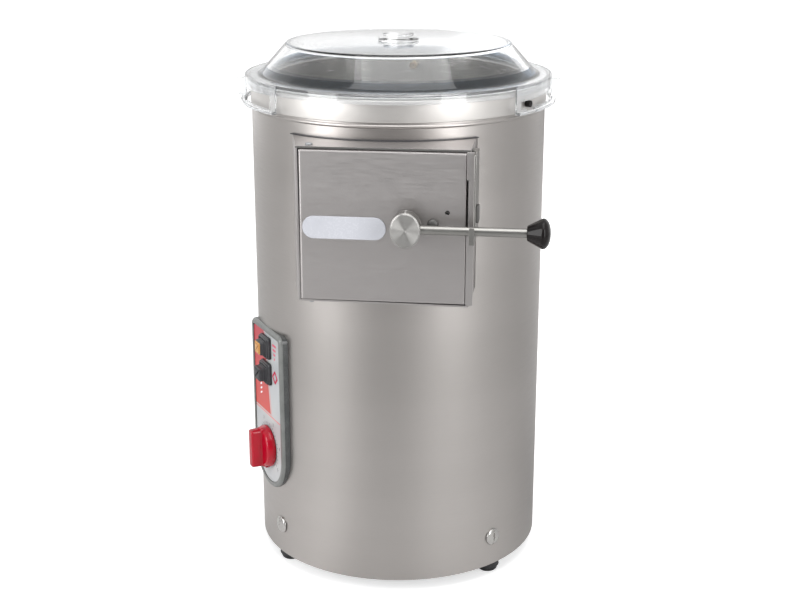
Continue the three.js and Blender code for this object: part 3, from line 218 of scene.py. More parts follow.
# The node's own triangles merged to flat faces, its edges of 25 degrees and more rounded by a bevel
def roundedCopy(name, nodeName, material, body, width):
    mesh = nodes[nodeName].data.copy()
    mesh.name = name
    mesh.materials.clear()
    work = bmesh.new()
    work.from_mesh(mesh)
    bmesh.ops.remove_doubles(work, verts=work.verts, dist=2e-6)
    bmesh.ops.dissolve_limit(work, angle_limit=math.radians(1.0), verts=work.verts, edges=work.edges)
    layer = work.edges.layers.float.new("bevel_weight_edge")
    for edge in work.edges:
        if len(edge.link_faces) == 2:
            edge[layer] = float(edge.calc_face_angle(0.0) >= math.radians(25))
    work.to_mesh(mesh)
    work.free()
    mesh.shade_smooth()
    mesh.set_sharp_from_angle(angle=math.radians(30))
    piece = linked(name, mesh, material, body, nodeName)
    bevel = piece.modifiers.new("edges", "BEVEL")
    bevel.limit_method, bevel.width, bevel.segments = "WEIGHT", width * mm, 2
    bevel.use_clamp_overlap, bevel.harden_normals = True, False
    return piece


# Feeds a node's inputs, by name or number: another node's socket is linked, a plain value is set
def feed(tree, target, values):
    for key, value in values.items():
        if isinstance(value, bpy.types.NodeSocket):
            tree.links.new(value, target.inputs[key])
        else:
            target.inputs[key].default_value = value


# A shader node with its settings set and its inputs fed
def node(tree, kind, inputs=None, **settings):
    made = tree.nodes.new("ShaderNode" + kind)
    for key, value in settings.items():
        setattr(made, key, value)
    feed(tree, made, inputs or {})
    return made


# One sum, product or other step between two values
def mathNode(tree, operation, a, b, clamp=False):
    return node(tree, "Math", {0: a, 1: b}, operation=operation, use_clamp=clamp).outputs[0]


# toMin + (toMax - toMin) * (value - fromMin) / (fromMax - fromMin), kept between both ends
def mapRange(tree, value, fromMin, fromMax, toMin=0.0, toMax=1.0):
    return node(tree, "MapRange", {"Value": value, "From Min": fromMin, "From Max": fromMax,
                                   "To Min": toMin, "To Max": toMax}).outputs["Result"]


# Colour a * (1 - share) + b * share
def mixColour(tree, share, a, b):
    a, b = ((*v, 1.0) if isinstance(v, tuple) else v for v in (a, b))
    return node(tree, "Mix", {0: share, 6: a, 7: b}, data_type="RGBA").outputs[2]


# An object direction as a world direction, which Tangent expects
def worldVector(tree, vector):
    return node(tree, "VectorTransform", {0: vector}, vector_type="VECTOR", convert_from="OBJECT",
                convert_to="WORLD").outputs[0]


# A node material with its tree and its Principled shader
def newMaterial(name):
    material = bpy.data.materials.new(name)
    material.use_nodes = True
    return material, material.node_tree, material.node_tree.nodes["Principled BSDF"]


# Fine streaks along one way plus soft clouds, given as masks and as a bumped normal
def buildGrainGroup():
    group = bpy.data.node_groups.new("surfaceGrain", "ShaderNodeTree")
    for side, names in (("INPUT", ("Vector", "Streak Scale", "Cloud Scale", "Bump")),
                        ("OUTPUT", ("Streaks", "Clouds", "Normal"))):
        for name in names:
            kind = "NodeSocketVector" if name in ("Vector", "Normal") else "NodeSocketFloat"
            group.interface.new_socket(name=name, in_out=side, socket_type=kind)
    given = group.nodes.new("NodeGroupInput").outputs
    streaks = node(group, "TexNoise", {"Vector": given["Vector"], "Scale": given["Streak Scale"],
                                       "Detail": 2.0, "Roughness": 0.6})
    clouds = node(group, "TexNoise", {"Vector": given["Vector"], "Scale": given["Cloud Scale"],
                                      "Detail": 3.0, "Roughness": 0.55})
    bump = node(group, "Bump", {"Distance": 0.0002, "Strength": given["Bump"],
                                "Height": streaks.outputs["Fac"]})
    feed(group, group.nodes.new("NodeGroupOutput"), {
        "Streaks": streaks.outputs["Fac"], "Clouds": clouds.outputs["Fac"],
        "Normal": bump.outputs["Normal"]})
    return group


grainGroup = buildGrainGroup()
softBand, wideBand = (0.35, 0.65), (0.3, 0.7)  # parts of the noise that become 0 to 1
wrapRadius = 0.18  # metres round the drum for each radian


# The grain group placed in a material with that material's own values
def grainOutputs(tree, coordinates, streak, cloud, bump):
    return node(tree, "Group", {"Vector": coordinates, "Streak Scale": streak, "Cloud Scale": cloud,
                                "Bump": bump}, node_tree=grainGroup).outputs


# A Principled material whose colour and roughness vary with the grain group. The pattern is flat,
# wrapped round the drum, or turned in rings about a centre; lights smear upwards on upright ones and
# along the radius on turned ones
def grainMaterial(name, colour, second, roughness, metallic=0.0, streak=900.0, cloud=9.0, bump=0.1,
                  stretch=(1.0, 1.0, 1.0), vector="flat", centre=(0.0, 0.0, 0.0), upright=False, **shader):
    material, tree, bsdf = newMaterial(name)
    coordinates = node(tree, "TexCoord").outputs["Object"]
    if vector == "drum":  # (azimuth as a length, 0, height): streaks run round the drum
        parts = node(tree, "SeparateXYZ", {0: coordinates}).outputs
        turn = mathNode(tree, "ARCTAN2", parts["X"], mathNode(tree, "MULTIPLY", parts["Y"], -1.0))
        along = mathNode(tree, "MULTIPLY", turn, wrapRadius)
        coordinates = node(tree, "CombineXYZ", {"X": along, "Z": parts["Z"]}).outputs[0]
    if vector == "turned":  # from the piece's own axis
        coordinates = node(tree, "VectorMath", {0: coordinates, 1: centre}, operation="SUBTRACT").outputs[0]
        parts = node(tree, "SeparateXYZ", {0: coordinates}).outputs
        outwards = node(tree, "CombineXYZ", {"X": parts["X"], "Z": parts["Z"]}).outputs[0]
        unit = node(tree, "VectorMath", {0: worldVector(tree, outwards)}, operation="NORMALIZE").outputs[0]
        feed(tree, bsdf, {"Tangent": unit})
    coordinates = node(tree, "VectorMath", {0: coordinates, 1: stretch}, operation="MULTIPLY").outputs[0]
    if vector == "turned":  # rings: the distance alone
        length = node(tree, "VectorMath", {0: coordinates}, operation="LENGTH").outputs["Value"]
        coordinates = node(tree, "CombineXYZ", {"X": length}).outputs[0]
    grain = grainOutputs(tree, coordinates, streak, cloud, bump)
    share = mapRange(tree, grain["Clouds"], *softBand)
    rough = mathNode(tree, "ADD", mapRange(tree, grain["Streaks"], *wideBand, *roughness),
                     mapRange(tree, grain["Clouds"], *wideBand, -0.03, 0.03), clamp=True)
    feed(tree, bsdf, {"Base Color": mixColour(tree, share, colour, second), "Roughness": rough,
                      "Normal": grain["Normal"], "Metallic": metallic})
    if upright:
        feed(tree, bsdf, {"Tangent": worldVector(tree, (0.0, 0.0, 1.0))})
    feed(tree, bsdf, {key.replace("_", " "): value for key, value in shader.items()})
    return material


materialSettings = {
    "satinDrum": dict(colour=(0.4, 0.379, 0.364), second=(0.44, 0.417, 0.402), roughness=(0.3, 0.42),
                      metallic=1.0, vector="drum", stretch=(0.04, 1.0, 1.0), streak=900.0, cloud=5.0,
                      bump=0.05),
    "satinFlat": dict(colour=(0.42, 0.4, 0.394), second=(0.46, 0.44, 0.434), roughness=(0.34, 0.46),
                      metallic=1.0, stretch=(0.05, 1.0, 1.0), streak=800.0, cloud=8.0, bump=0.06),
    "linerSteel": dict(colour=(0.56, 0.55, 0.52), second=(0.66, 0.64, 0.61), roughness=(0.2, 0.28),
                       metallic=1.0, upright=True, Anisotropic=0.8, vector="drum",
                       stretch=(0.04, 1.0, 1.0), streak=700.0, cloud=7.0, bump=0.06),
    "ringSteel": dict(colour=(0.56, 0.543, 0.524), second=(0.61, 0.592, 0.573), roughness=(0.4, 0.49),
                      metallic=1.0, vector="drum", stretch=(0.04, 1.0, 1.0), streak=900.0, cloud=6.0,
                      bump=0.04),
    "polishedSteel": dict(colour=(0.42, 0.41, 0.4), second=(0.5, 0.49, 0.47), roughness=(0.16, 0.26),
                          metallic=1.0, stretch=(0.1, 1.0, 1.0), streak=1400.0, cloud=30.0, bump=0.03),
    "brushedSteel": dict(colour=(0.25, 0.245, 0.235), second=(0.31, 0.305, 0.29), roughness=(0.28, 0.4),
                         metallic=1.0, stretch=(0.1, 1.0, 1.0), streak=1300.0, cloud=30.0, bump=0.05),
    # Dark look: painted shade on the hem above the door and on the steel bolt behind the rod; on the catch
    # nub it is the nub's own black
    "blackAndPaintedShade": dict(colour=(0.1, 0.098, 0.094), second=(0.13, 0.128, 0.124), roughness=(0.45, 0.6),
                     metallic=0.6, stretch=(0.05, 1.0, 1.0), streak=800.0, cloud=20.0, bump=0.04),
    "paleSilicone": dict(colour=(0.42, 0.42, 0.41), second=(0.5, 0.5, 0.49), roughness=(0.5, 0.65),
                         streak=1200.0, cloud=40.0, bump=0.12),
    "darkSteel": dict(colour=(0.3, 0.31, 0.32), second=(0.36, 0.37, 0.38), roughness=(0.4, 0.55),
                      metallic=1.0, stretch=(0.1, 1.0, 1.0), streak=700.0, cloud=14.0, bump=0.1),
    "castAluminium": dict(colour=(0.5, 0.51, 0.52), second=(0.6, 0.61, 0.62), roughness=(0.45, 0.65),
                          metallic=0.9, streak=1600.0, cloud=30.0, bump=0.5),
    "motorIron": dict(colour=(0.1, 0.14, 0.19), second=(0.13, 0.17, 0.22), roughness=(0.4, 0.6),
                      streak=1200.0, cloud=20.0, bump=0.35),
    "gritCoat": dict(colour=(0.03, 0.031, 0.034), second=(0.12, 0.12, 0.125), roughness=(0.7, 0.98),
                     streak=420.0, cloud=330.0, bump=1.0),
    "blackRubber": dict(colour=(0.016, 0.016, 0.018), second=(0.03, 0.03, 0.032), roughness=(0.5, 0.68),
                        streak=1500.0, cloud=60.0, bump=0.18),
    "greyRubber": dict(colour=(0.022, 0.022, 0.026), second=(0.034, 0.034, 0.038),
                       roughness=(0.36, 0.5), streak=1500.0, cloud=60.0, bump=0.18),
    "glossBlack": dict(colour=(0.006, 0.005, 0.005), second=(0.01, 0.008, 0.008),
                       roughness=(0.07, 0.12), streak=500.0, cloud=50.0, bump=0.015,
                       Specular_IOR_Level=0.18),
    # One grey plastic as two copies: painted shade for the bezel's sides, painted light for its front
    "bezelPaintedShade": dict(colour=(0.05, 0.053, 0.053), second=(0.07, 0.073, 0.073), roughness=(0.2, 0.3),
                      streak=1400.0, cloud=40.0, bump=0.12),
    "bezelPaintedLight": dict(colour=(0.13, 0.135, 0.13), second=(0.17, 0.175, 0.17), roughness=(0.28, 0.4),
                      streak=1400.0, cloud=40.0, bump=0.1),
    "glossRed": dict(colour=(0.36, 0.0005, 0.012), second=(0.42, 0.001, 0.018), roughness=(0.08, 0.14),
                     streak=400.0, cloud=30.0, bump=0.01, Specular_IOR_Level=0.4),
    "amberLens": dict(colour=(0.5, 0.2, 0.03), second=(0.62, 0.3, 0.06), roughness=(0.18, 0.28),
                      streak=700.0, cloud=120.0, bump=0.1),
    "badgeWhite": dict(colour=(0.47, 0.48, 0.52), second=(0.5, 0.51, 0.55), roughness=(0.2, 0.3),
                       streak=500.0, cloud=30.0, bump=0.02),
    "plainBrass": dict(colour=(0.5, 0.34, 0.12), second=(0.6, 0.43, 0.17), roughness=(0.25, 0.4),
                       metallic=1.0, streak=900.0, cloud=40.0, bump=0.08),
    "printInk": dict(colour=(0.08, 0.085, 0.1), second=(0.1, 0.105, 0.12), roughness=(0.35, 0.5),
                     streak=900.0, cloud=60.0, bump=0.02),
    "printCrimson": dict(colour=(0.5, 0.01, 0.06), second=(0.56, 0.02, 0.08), roughness=(0.35, 0.5),
                         streak=900.0, cloud=60.0, bump=0.02),
    "printRose": dict(colour=(0.6, 0.1, 0.16), second=(0.64, 0.13, 0.19), roughness=(0.35, 0.5),
                      streak=900.0, cloud=60.0, bump=0.02),
    "printWhite": dict(colour=(0.8, 0.8, 0.84), second=(0.84, 0.84, 0.88), roughness=(0.35, 0.5),
                       streak=900.0, cloud=60.0, bump=0.02),
}
looks = {name: grainMaterial(name, **values) for name, values in materialSettings.items()}

clearGrain = dict(streak=260.0, cloud=12.0, bump=0.02, deeper=0.985, ior=1.49)


# Clear plastic keeps plain transmission; faint scratches come from its roughness and bump
def clearMaterial(name, colour, roughness, transmission=1.0):
    material, tree, bsdf = newMaterial(name)
    coordinates = node(tree, "TexCoord").outputs["Object"]
    grain = grainOutputs(tree, coordinates, *(clearGrain[k] for k in ("streak", "cloud", "bump")))
    share = mapRange(tree, grain["Clouds"], 0.4, 0.6)
    deeper = tuple(clearGrain["deeper"] * c for c in colour)
    feed(tree, bsdf, {"Roughness": mapRange(tree, grain["Clouds"], *wideBand, *roughness),
                      "Normal": grain["Normal"], "Base Color": mixColour(tree, share, colour, deeper),
                      "Transmission Weight": transmission, "IOR": clearGrain["ior"]})
    return material


looks["clearPlastic"] = clearMaterial("clearPlastic", (0.975, 0.98, 0.985), (0.01, 0.05))
# Dark tinted clear looks for the lid's thick rim and foot: painted shade for the dark surroundings seen
# through them
looks["clearPaintedShadeEdge"] = clearMaterial("clearPaintedShadeEdge", (0.3, 0.37, 0.45), (0.04, 0.12))
looks["clearFrost"] = clearMaterial("clearFrost", (0.95, 0.96, 0.97), (0.05, 0.12), transmission=0.9)
looks["clearPaintedShadeFoot"] = clearMaterial("clearPaintedShadeFoot", (0.13, 0.17, 0.22), (0.02, 0.06))
print("materials built:", len(looks))

photoCamera = dict(place=(0.2249, -1.7320, 0.8652), aim=(0.0, 0.0, 0.3236), turnRight=0.065, lens=63.585,
                   sensor=36.0, clip=(0.05, 50.0))


# Looks from its place at its aim: direction = aim - place, turned about Z by turnRight degrees
def addCamera(values):
    data = bpy.data.cameras.new("photoCamera")
    camera = bpy.data.objects.new("photoCamera", data)
    scene.collection.objects.link(camera)
    place = Vector(values["place"])
    look = Vector(values["aim"]) - place
    turn = -math.radians(values["turnRight"])
    look = Vector((look.x * math.cos(turn) - look.y * math.sin(turn),
                   look.x * math.sin(turn) + look.y * math.cos(turn), look.z))
    camera.location = place
    camera.rotation_mode = "QUATERNION"
    camera.rotation_quaternion = look.to_track_quat("-Z", "Y")
    data.lens = values["lens"]
    data.sensor_width = values["sensor"]
    data.clip_start, data.clip_end = values["clip"]
    bpy.context.scene.camera = camera


addCamera(photoCamera)

softboxes = [  # name, azimuth, distance, height, width, tall, watts
    ("leftSoftbox", -48.0, 2.0, 1.0, 0.9, 1.7, 26.0),
    ("rightSoftbox", 47.0, 2.2, 1.0, 0.8, 1.7, 22.0),
    ("topSoftbox", 20.0, 0.6, 2.3, 1.8, 1.8, 26.0),
    ("rearSoftbox", 165.0, 2.2, 1.4, 1.6, 1.4, 14.0),
]
lampAimHeight = 0.35


# A rectangular lamp at its distance along its azimuth and at its height, aimed at the machine's middle
def addSoftbox(name, azimuth, distance, height, width, tall, watts):
    data = bpy.data.lights.new(name, "AREA")
    data.shape = "RECTANGLE"
    data.size, data.size_y, data.energy = width, tall, watts
    lamp = bpy.data.objects.new(name, data)
    scene.collection.objects.link(lamp)
    _, out = directions(azimuth)
    lamp.location = Vector(out * distance) + Vector((0, 0, height))
    aim = Vector((0, 0, lampAimHeight)) - lamp.location
    lamp.rotation_euler = aim.to_track_quat("-Z", "Y").to_euler()
    lamp.visible_glossy = name != "rearSoftbox"  # it would show as a white patch on the lid's top


for box in softboxes:
    addSoftbox(*box)


# White for camera, glossy and transmitted rays, a plain grey level for the rest
def buildWorld(level):
    world = bpy.data.worlds.new("studio")
    scene.world = world
    world.use_nodes = True
    tree = world.node_tree
    path = node(tree, "LightPath").outputs
    seen = mathNode(tree, "MAXIMUM", path["Is Camera Ray"], path["Is Glossy Ray"])
    seen = mathNode(tree, "MAXIMUM", seen, path["Is Transmission Ray"])
    feed(tree, tree.nodes["Background"], {"Color": (1, 1, 1, 1),
                                          "Strength": mapRange(tree, seen, 0.0, 1.0, level, 1.0)})


worldLevel = 0.45
buildWorld(worldLevel)


# A stage surface in metres with values per point, which its material reads as attributes
def stagePiece(name, materialName, points, faces, values):
    mesh = bpy.data.meshes.new(name)
    mesh.from_pydata(points.reshape(-1, 3).tolist(), [], faces)
    for key, column in values.items():
        mesh.attributes.new(key, "FLOAT", "POINT").data.foreach_set("value", column.reshape(-1))
    piece = bpy.data.objects.new(name, mesh)
    scene.collection.objects.link(piece)
    material, tree, bsdf = newMaterial(materialName)
    mesh.materials.append(material)
    return piece, tree, bsdf


# One of those values read back
def attributeValue(tree, name):
    return node(tree, "Attribute", attribute_name=name).outputs["Fac"]


# Pale floor as a polar grid. Its glow for the camera grows with distance, so that it ends in plain
# white; reflections see painted light and shade on it: it is darker at some azimuths, like the studio wall,
# and a near ramp mostly brightens it where the machine's own shadow falls
floorStage = dict(radius=18.0, lit=0.8, nearGlow=0.55, farGlow=1.0, near=0.7, far=2.6,
                  stops=(-180, -140, -106, -75, -54, -35, -15, 12, 30, 55, 80, 113, 145, 180),
                  levels=(0.95, 0.96, 0.9, 0.8, 0.87, 0.95, 0.66, 0.66, 0.85, 0.85, 0.82, 0.75, 0.8, 0.9),
                  boosts=(0.3, 0.3, 0.2, 0.25, 0.3, 0.3, 0.35, 0.3, 0.2, 0.12, 0.0, -0.15, -0.2, -0.1),
                  boostFrom=0.65, boostTo=0.35,
                  farBoosts=(0.45, 0.45, 0.2, 0.06, 0.06, 0.02, 0.1, 0.18, 0.25, 0.4, 0.18, 0.2, 0.4, 0.4),
                  farFrom=1.0, farTo=2.0)


# Point = (r sin a, -r cos a, 0)
# level = lit * level at a * (1 + boost * near ramp + farBoost * far ramp)
def buildFloor(values):
    turns = np.linspace(-180, 180, 144, endpoint=False)
    radii = np.concatenate([[0.02], np.geomspace(0.1, values["radius"], 24)])
    a, r = np.meshgrid(np.radians(turns), radii, indexing="ij")
    points = np.stack([r * np.sin(a), -r * np.cos(a), 0 * r], -1)
    faces = gridQuads(len(turns), len(radii), closeRows=True).tolist()
    faces.append([k * len(radii) for k in range(len(turns))][::-1])

    def ramp(low, high):
        return np.clip((r - values[low]) / (values[high] - values[low]), 0, 1)

    glow = values["nearGlow"] + (values["farGlow"] - values["nearGlow"]) * ramp("near", "far")
    level, boost, farBoost = (np.interp(np.degrees(a), values["stops"], values[key])
                              for key in ("levels", "boosts", "farBoosts"))
    # Painted light that only reflections see: the near ramp mostly lifts the floor where the machine's
    # shadow lies
    boosted = 1 + boost * ramp("boostFrom", "boostTo") + farBoost * ramp("farFrom", "farTo")
    level = level * values["lit"] * boosted
    floor, tree, bsdf = stagePiece("floor", "paleFloor", points, faces,
                                   {"glow": glow, "level": np.minimum(level, 1)})
    path = node(tree, "LightPath").outputs
    seen = mathNode(tree, "MAXIMUM", path["Is Camera Ray"], path["Is Transmission Ray"])
    shade = mixColour(tree, attributeValue(tree, "level"), (0.0, 0.0, 0.0), (1.0, 1.0, 1.0))
    feed(tree, bsdf, {
        "Roughness": 0.9, "Specular IOR Level": 0.1, "Emission Color": (1, 1, 1, 1),
        "Emission Strength": mathNode(tree, "MULTIPLY", seen, attributeValue(tree, "glow")),
        "Base Color": mixColour(tree, path["Is Glossy Ray"], (values["lit"],) * 3, shade)})


buildFloor(floorStage)


# A curved studio wall that only reflections see; its brightness follows the azimuth between the stops
studioWall = dict(distance=3.2, top=3.0, start=-150.0, end=150.0, columns=121,
                  stops=(-150, -125, -100, -75, -60, -35, -18, 12, 28, 58, 80, 115, 140, 150),
                  levels=(1.9, 1.45, 0.9, 0.6, 0.9, 1.0, 0.3, 0.22, 0.75, 0.84, 0.82, 0.78, 1.05, 1.35))


# Point = (distance sin a, -distance cos a, height), its level read off the stops at a
def buildStudioWall(values):
    azimuths = np.linspace(values["start"], values["end"], values["columns"])
    a = np.radians(azimuths)[:, None]
    heights = np.array([0.0, values["top"]])[None]
    distance = values["distance"] + 0 * heights
    points = np.stack([distance * np.sin(a), -distance * np.cos(a), heights + 0 * a], -1)
    levels = np.repeat(np.interp(azimuths, values["stops"], values["levels"]), 2)
    wall, tree, bsdf = stagePiece("studioWall", "studioGrey", points, gridQuads(len(azimuths), 2).tolist(),
                                  {"level": levels})
    feed(tree, bsdf, {"Base Color": (0, 0, 0, 1), "Specular IOR Level": 0.0, "Emission Color": (1, 1, 1, 1),
                      "Emission Strength": attributeValue(tree, "level")})
    wall.visible_camera = wall.visible_diffuse = wall.visible_shadow = wall.visible_transmission = False


buildStudioWall(studioWall)
print("camera, lamps and stage ready")

# Outer shell, liner and top ring. The chute's hole is given in degrees and millimetres
drum = dict(radius=181.0, sheet=1.5, bottom=17.0, top=586.0, bead=1.2, beadTop=584.0, beadHeight=4.4,
            beadGrid=579.6, sides=240, holeSides=48, holeLeft=-34.95, holeRight=37.2, holeBottom=387.0,
            holeTop=566.6)


# Azimuths and heights of a drum wall with grid lines on the chute hole's edges
def wallGrid(values, heights):
    restSides = values["sides"] - values["holeSides"]
    rest = np.linspace(values["holeRight"], values["holeLeft"] + 360, restSides + 1)
    gap = np.linspace(values["holeLeft"], values["holeRight"], values["holeSides"], endpoint=False)
    azimuths = np.concatenate([gap, rest[:-1]])
    heights = np.unique(np.round(np.concatenate([heights, [values["holeBottom"], values["holeTop"]]]), 4))
    middleA = (azimuths + np.append(azimuths[1:], azimuths[0] + 360)) / 2
    middleH = (heights[1:] + heights[:-1]) / 2
    inside = ((middleA[:, None] < values["holeRight"]) & (middleH[None] > values["holeBottom"])
              & (middleH[None] < values["holeTop"]))
    return azimuths, heights, ~inside


# A drum wall: radius is a function of height, both skins and all rims closed
def drumWall(name, values, radiusAt, heights, material, replaced):
    azimuths, heights, kept = wallGrid(values, heights)
    a = np.radians(azimuths)[:, None]
    outer, inner = (np.stack([r * np.sin(a), -r * np.cos(a), heights[None] + 0 * a], -1)
                    for r in (radiusAt(heights)[None], radiusAt(heights)[None] - values["sheet"]))
    quads = gridQuads(*outer.shape[:2], closeRows=True, kept=kept)
    finished(name, closedShell(name, outer, inner, quads), material, "casing", replaced)


# The shell is plain but for a rolled bead near its top: radius + bead * sin(pi x) to the power 0.8,
# with x from 0 to 1 over the bead's height
def shellRadius(h):
    x = np.clip((h - (drum["beadTop"] - drum["beadHeight"])) / drum["beadHeight"], 0, 1)
    return drum["radius"] + drum["bead"] * np.sin(np.pi * x) ** 0.8


shellHeights = np.concatenate([np.linspace(drum["bottom"], drum["beadGrid"] - 0.6, 20),
                               np.linspace(drum["beadGrid"], drum["beadTop"], 9), [drum["top"]]])
drumWall("drum_shell", drum, shellRadius, shellHeights, looks["satinDrum"], "outer_shell")
liner = dict(drum, radius=166.7, bottom=342.3, top=609.0, holeLeft=-38.5, holeRight=40.9)
drumWall("chamber_liner", liner, lambda h: np.full_like(h, liner["radius"]),
         np.linspace(liner["bottom"], liner["top"], 14), looks["linerSteel"], "inner_liner")

ring = dict(outer=182.0, inner=167.0, bottom=586.3, top=612.0, wall=2.0, skirt=8.0, edge=3.0)
lathe("rim_ring", [
    (ring["outer"] - ring["wall"], ring["bottom"]), (ring["outer"], ring["bottom"]),
    (ring["outer"], ring["top"]), (ring["inner"], ring["top"]), (ring["inner"], ring["top"] - ring["skirt"]),
    (ring["inner"] + ring["wall"], ring["top"] - ring["skirt"]),
    (ring["inner"] + ring["wall"], ring["top"] - ring["wall"]),
    (ring["outer"] - ring["wall"], ring["top"] - ring["wall"])],
    looks["ringSteel"], "casing", "bright_steel", "top_ring", sides=256,
    soften=np.array([0.5, 0.5, ring["edge"], ring["edge"], 0.6, 0.6, 1.0, 1.0]), closed=True)
lidSeal = dict(inner=170.0, outer=179.0, bottom=612.3, top=614.8)
lathe("lid_seal", [(lidSeal["inner"], lidSeal["bottom"]), (lidSeal["outer"], lidSeal["bottom"]),
                   (lidSeal["outer"], lidSeal["top"]), (lidSeal["inner"], lidSeal["top"])],
      looks["paleSilicone"], "seal", "rubber", "rim_seal", sides=200, soften=0.9, closed=True)
print("drum walls and ring done")

# Base: rubber feet with a ribbed side and a stud into the pan, and slotted pan screws
feet = dict(circle=162.0, azimuths=(52, 128, -128, -52), profile=[
    (0, 0), (10.5, 0), (12.0, 1.6), (13.2, 6.0), (14.4, 6.4), (14.6, 8.0), (13.9, 8.5), (15.2, 13.5),
    (16.0, 14.2), (16.0, 17.0), (5, 17.0), (5, 19.1), (7, 19.1), (5, 25.1), (0, 25.1)])
for k, azimuth in enumerate(feet["azimuths"]):
    lathe(f"rubber_foot_{k + 1}", feet["profile"], looks["blackRubber"], "casing", "rubber",
          f"foot_{k + 1}", sides=64, soften=0.5, reach=feet["circle"], azimuth=azimuth)

screws = dict(height=55.0, seat=181.3, head=10.8, rim=1.0, deep=4.0, slotWidth=2.2, slotDeep=1.6, sides=72,
              fall=0.62, azimuths=(48, 132, -132, -48))


# A domed head as a polar grid: height = deep * (1 - fall * (r / head) to the power 2.2), rounded over
# its rim and less the slot's square channel
def slottedScrew(name, azimuth, values, replaced):
    n, head, rim, seat, z = (values[k] for k in ("sides", "head", "rim", "seat", "height"))
    radii = np.concatenate([np.linspace(0, 1, 13)[1:] * (head - rim),
                            head - rim + np.array([0.4, 0.75, 1.0])])
    t = np.linspace(0, 2 * math.pi, n, endpoint=False)[:, None]
    uu, zz = radii[None] * np.cos(t), radii[None] * np.sin(t)
    dome = values["deep"] * (1 - values["fall"] * (radii / head) ** 2.2)[None]
    edge = np.clip((head - radii) / rim, 0, 1)[None]
    rounded = np.sqrt(np.clip(1 - (1 - edge) ** 2, 0, 1)) * 0.75 + 0.25
    height = dome * np.where(radii[None] > head - rim, rounded, 1.0)
    inside = np.clip((values["slotWidth"] / 2 + 0.25 - np.abs(uu)) / 0.5, 0, 1)
    height = height - inside * values["slotDeep"] * (radii[None] < head - 0.2)
    middle = placed(0.0, seat + values["deep"] - values["slotDeep"], z, azimuth)[None]
    top = placed(uu, seat + height, z + zz, azimuth)
    foot = placed(head * np.cos(t[:, 0]), seat, z + head * np.sin(t[:, 0]), azimuth)
    back = placed(0.0, seat, z, azimuth)[None]
    grid = np.concatenate([np.broadcast_to(middle, (n, 1, 3)), top, foot[:, None],
                           np.broadcast_to(back, (n, 1, 3))], 1)
    finished(name, asMesh(name, grid, gridQuads(n, grid.shape[1], closeRows=True)), looks["polishedSteel"],
             "casing", replaced, 34)


for k, azimuth in enumerate(screws["azimuths"]):
    slottedScrew(f"pan_screw_{k + 1}", azimuth, screws, f"base_screw_{k + 1}")
print("base done")

# Chute, catch and door
chute = dict(edge=0.25, hemReach=222.3, hemBottom=564.25, hingeSide=-83.9, hingeTop=564.0, hingeReach=219.4)
chuteBox = roundedCopy("chute_box", "door_frame", [looks["satinFlat"], looks["blackAndPaintedShade"]], "casing",
                       chute["edge"])


# The hem above the door sits in shade: the mesh is cut at the hem's lower edge and its front faces get the
# second look, a dark painted shade. The hinge side stands back, clear of the door's rounded edge
def shadeHems(piece, values):
    work = bmesh.new()
    work.from_mesh(piece.data)
    parts = work.verts[:] + work.edges[:] + work.faces[:]
    bmesh.ops.bisect_plane(work, geom=parts, plane_co=(0, 0, values["hemBottom"] * mm), plane_no=(0, 0, 1))
    for face in work.faces:
        _, y, z = face.calc_center_median() / mm
        if face.normal.y < -0.9 and y < -values["hemReach"] and z > values["hemBottom"]:
            face.material_index = 1
    for vert in work.verts:
        x, y, z = vert.co / mm
        if x < values["hingeSide"] and -y > values["hemReach"] and z < values["hingeTop"]:
            vert.co.y = -values["hingeReach"] * mm
    work.to_mesh(piece.data)
    work.free()


shadeHems(chuteBox, chute)
# Thin dark strips along the chute's joint with the drum: painted shade, where the joint lies in shadow
paintedShadeBead = dict(fromAzimuth=-34.7, toAzimuth=36.9, inner=180.8, outer=186.0, thick=1.0, top=566.2, bottom=387.1,
            lowerInset=9.0)
for name, z0, inset in (("upper", paintedShadeBead["top"], 0.0),
                        ("lower", paintedShadeBead["bottom"] - paintedShadeBead["thick"], paintedShadeBead["lowerInset"])):
    sweptBar(f"chute_shade_bead_{name}", roundedBox(paintedShadeBead["inner"], paintedShadeBead["outer"], z0, z0 + paintedShadeBead["thick"], 0.5, 3),
             np.linspace(paintedShadeBead["fromAzimuth"] + inset, paintedShadeBead["toAzimuth"] - inset, 73), looks["greyRubber"],
             "casing")
roundedCopy("door_catch", "catch_bracket", looks["brushedSteel"], "casing", 0.6)

# Folded door pan; each list gives its bottom, right, top and left side
door = dict(left=-83.5, right=103.8, bottom=390.2, top=563.9, corner=1.2, front=222.3, back=202.4,
            wall=(2.0, 2.0, 2.0, 22.5), frontRadius=(1.6, 1.2, 4.6, 3.0), backRadius=(0.6, 0.6, 0.6, 9.9),
            sheet=2.0, frontMargin=9.0, backInset=(0.0, 0.0, 0.0, 1.0), holeU=83.4, holeZ=495.6,
            holeRadius=2.8)


# One ring round the pan: a rounded rectangle with its own inset on each side, so that corners stay mitred
def doorRing(values, inset, reach, perSide=20):
    share = (1 - np.cos(np.linspace(0, math.pi, perSide))) / 2
    below, right, above, left = inset
    u0, u1 = values["left"] + left, values["right"] - right
    z0, z1 = values["bottom"] + below, values["top"] - above
    c = max(values["corner"] - min(inset), 0.3)
    us, zs = u0 + c + (u1 - u0 - 2 * c) * share, z0 + c + (z1 - z0 - 2 * c) * share
    q = np.radians([22.5, 45, 67.5])
    centres = [(u1 - c, z0 + c), (u1 - c, z1 - c), (u0 + c, z1 - c), (u0 + c, z0 + c)]
    flats = [(us, z0), (u1, zs), (us[::-1], z1), (u0, zs[::-1])]
    rows = []
    for k, (flat, centre) in enumerate(zip(flats, centres)):
        turn = q + (k - 1) * math.pi / 2
        u, z = np.broadcast_arrays(*flat)
        rows.append(np.stack([u, z, np.full(perSide, reach[k])], 1))
        rows.append(np.stack([centre[0] + c * np.cos(turn), centre[1] + c * np.sin(turn),
                              np.interp([0.25, 0.5, 0.75], [0, 1], [reach[k], reach[(k + 1) % 4]])], 1))
    return np.concatenate(rows)


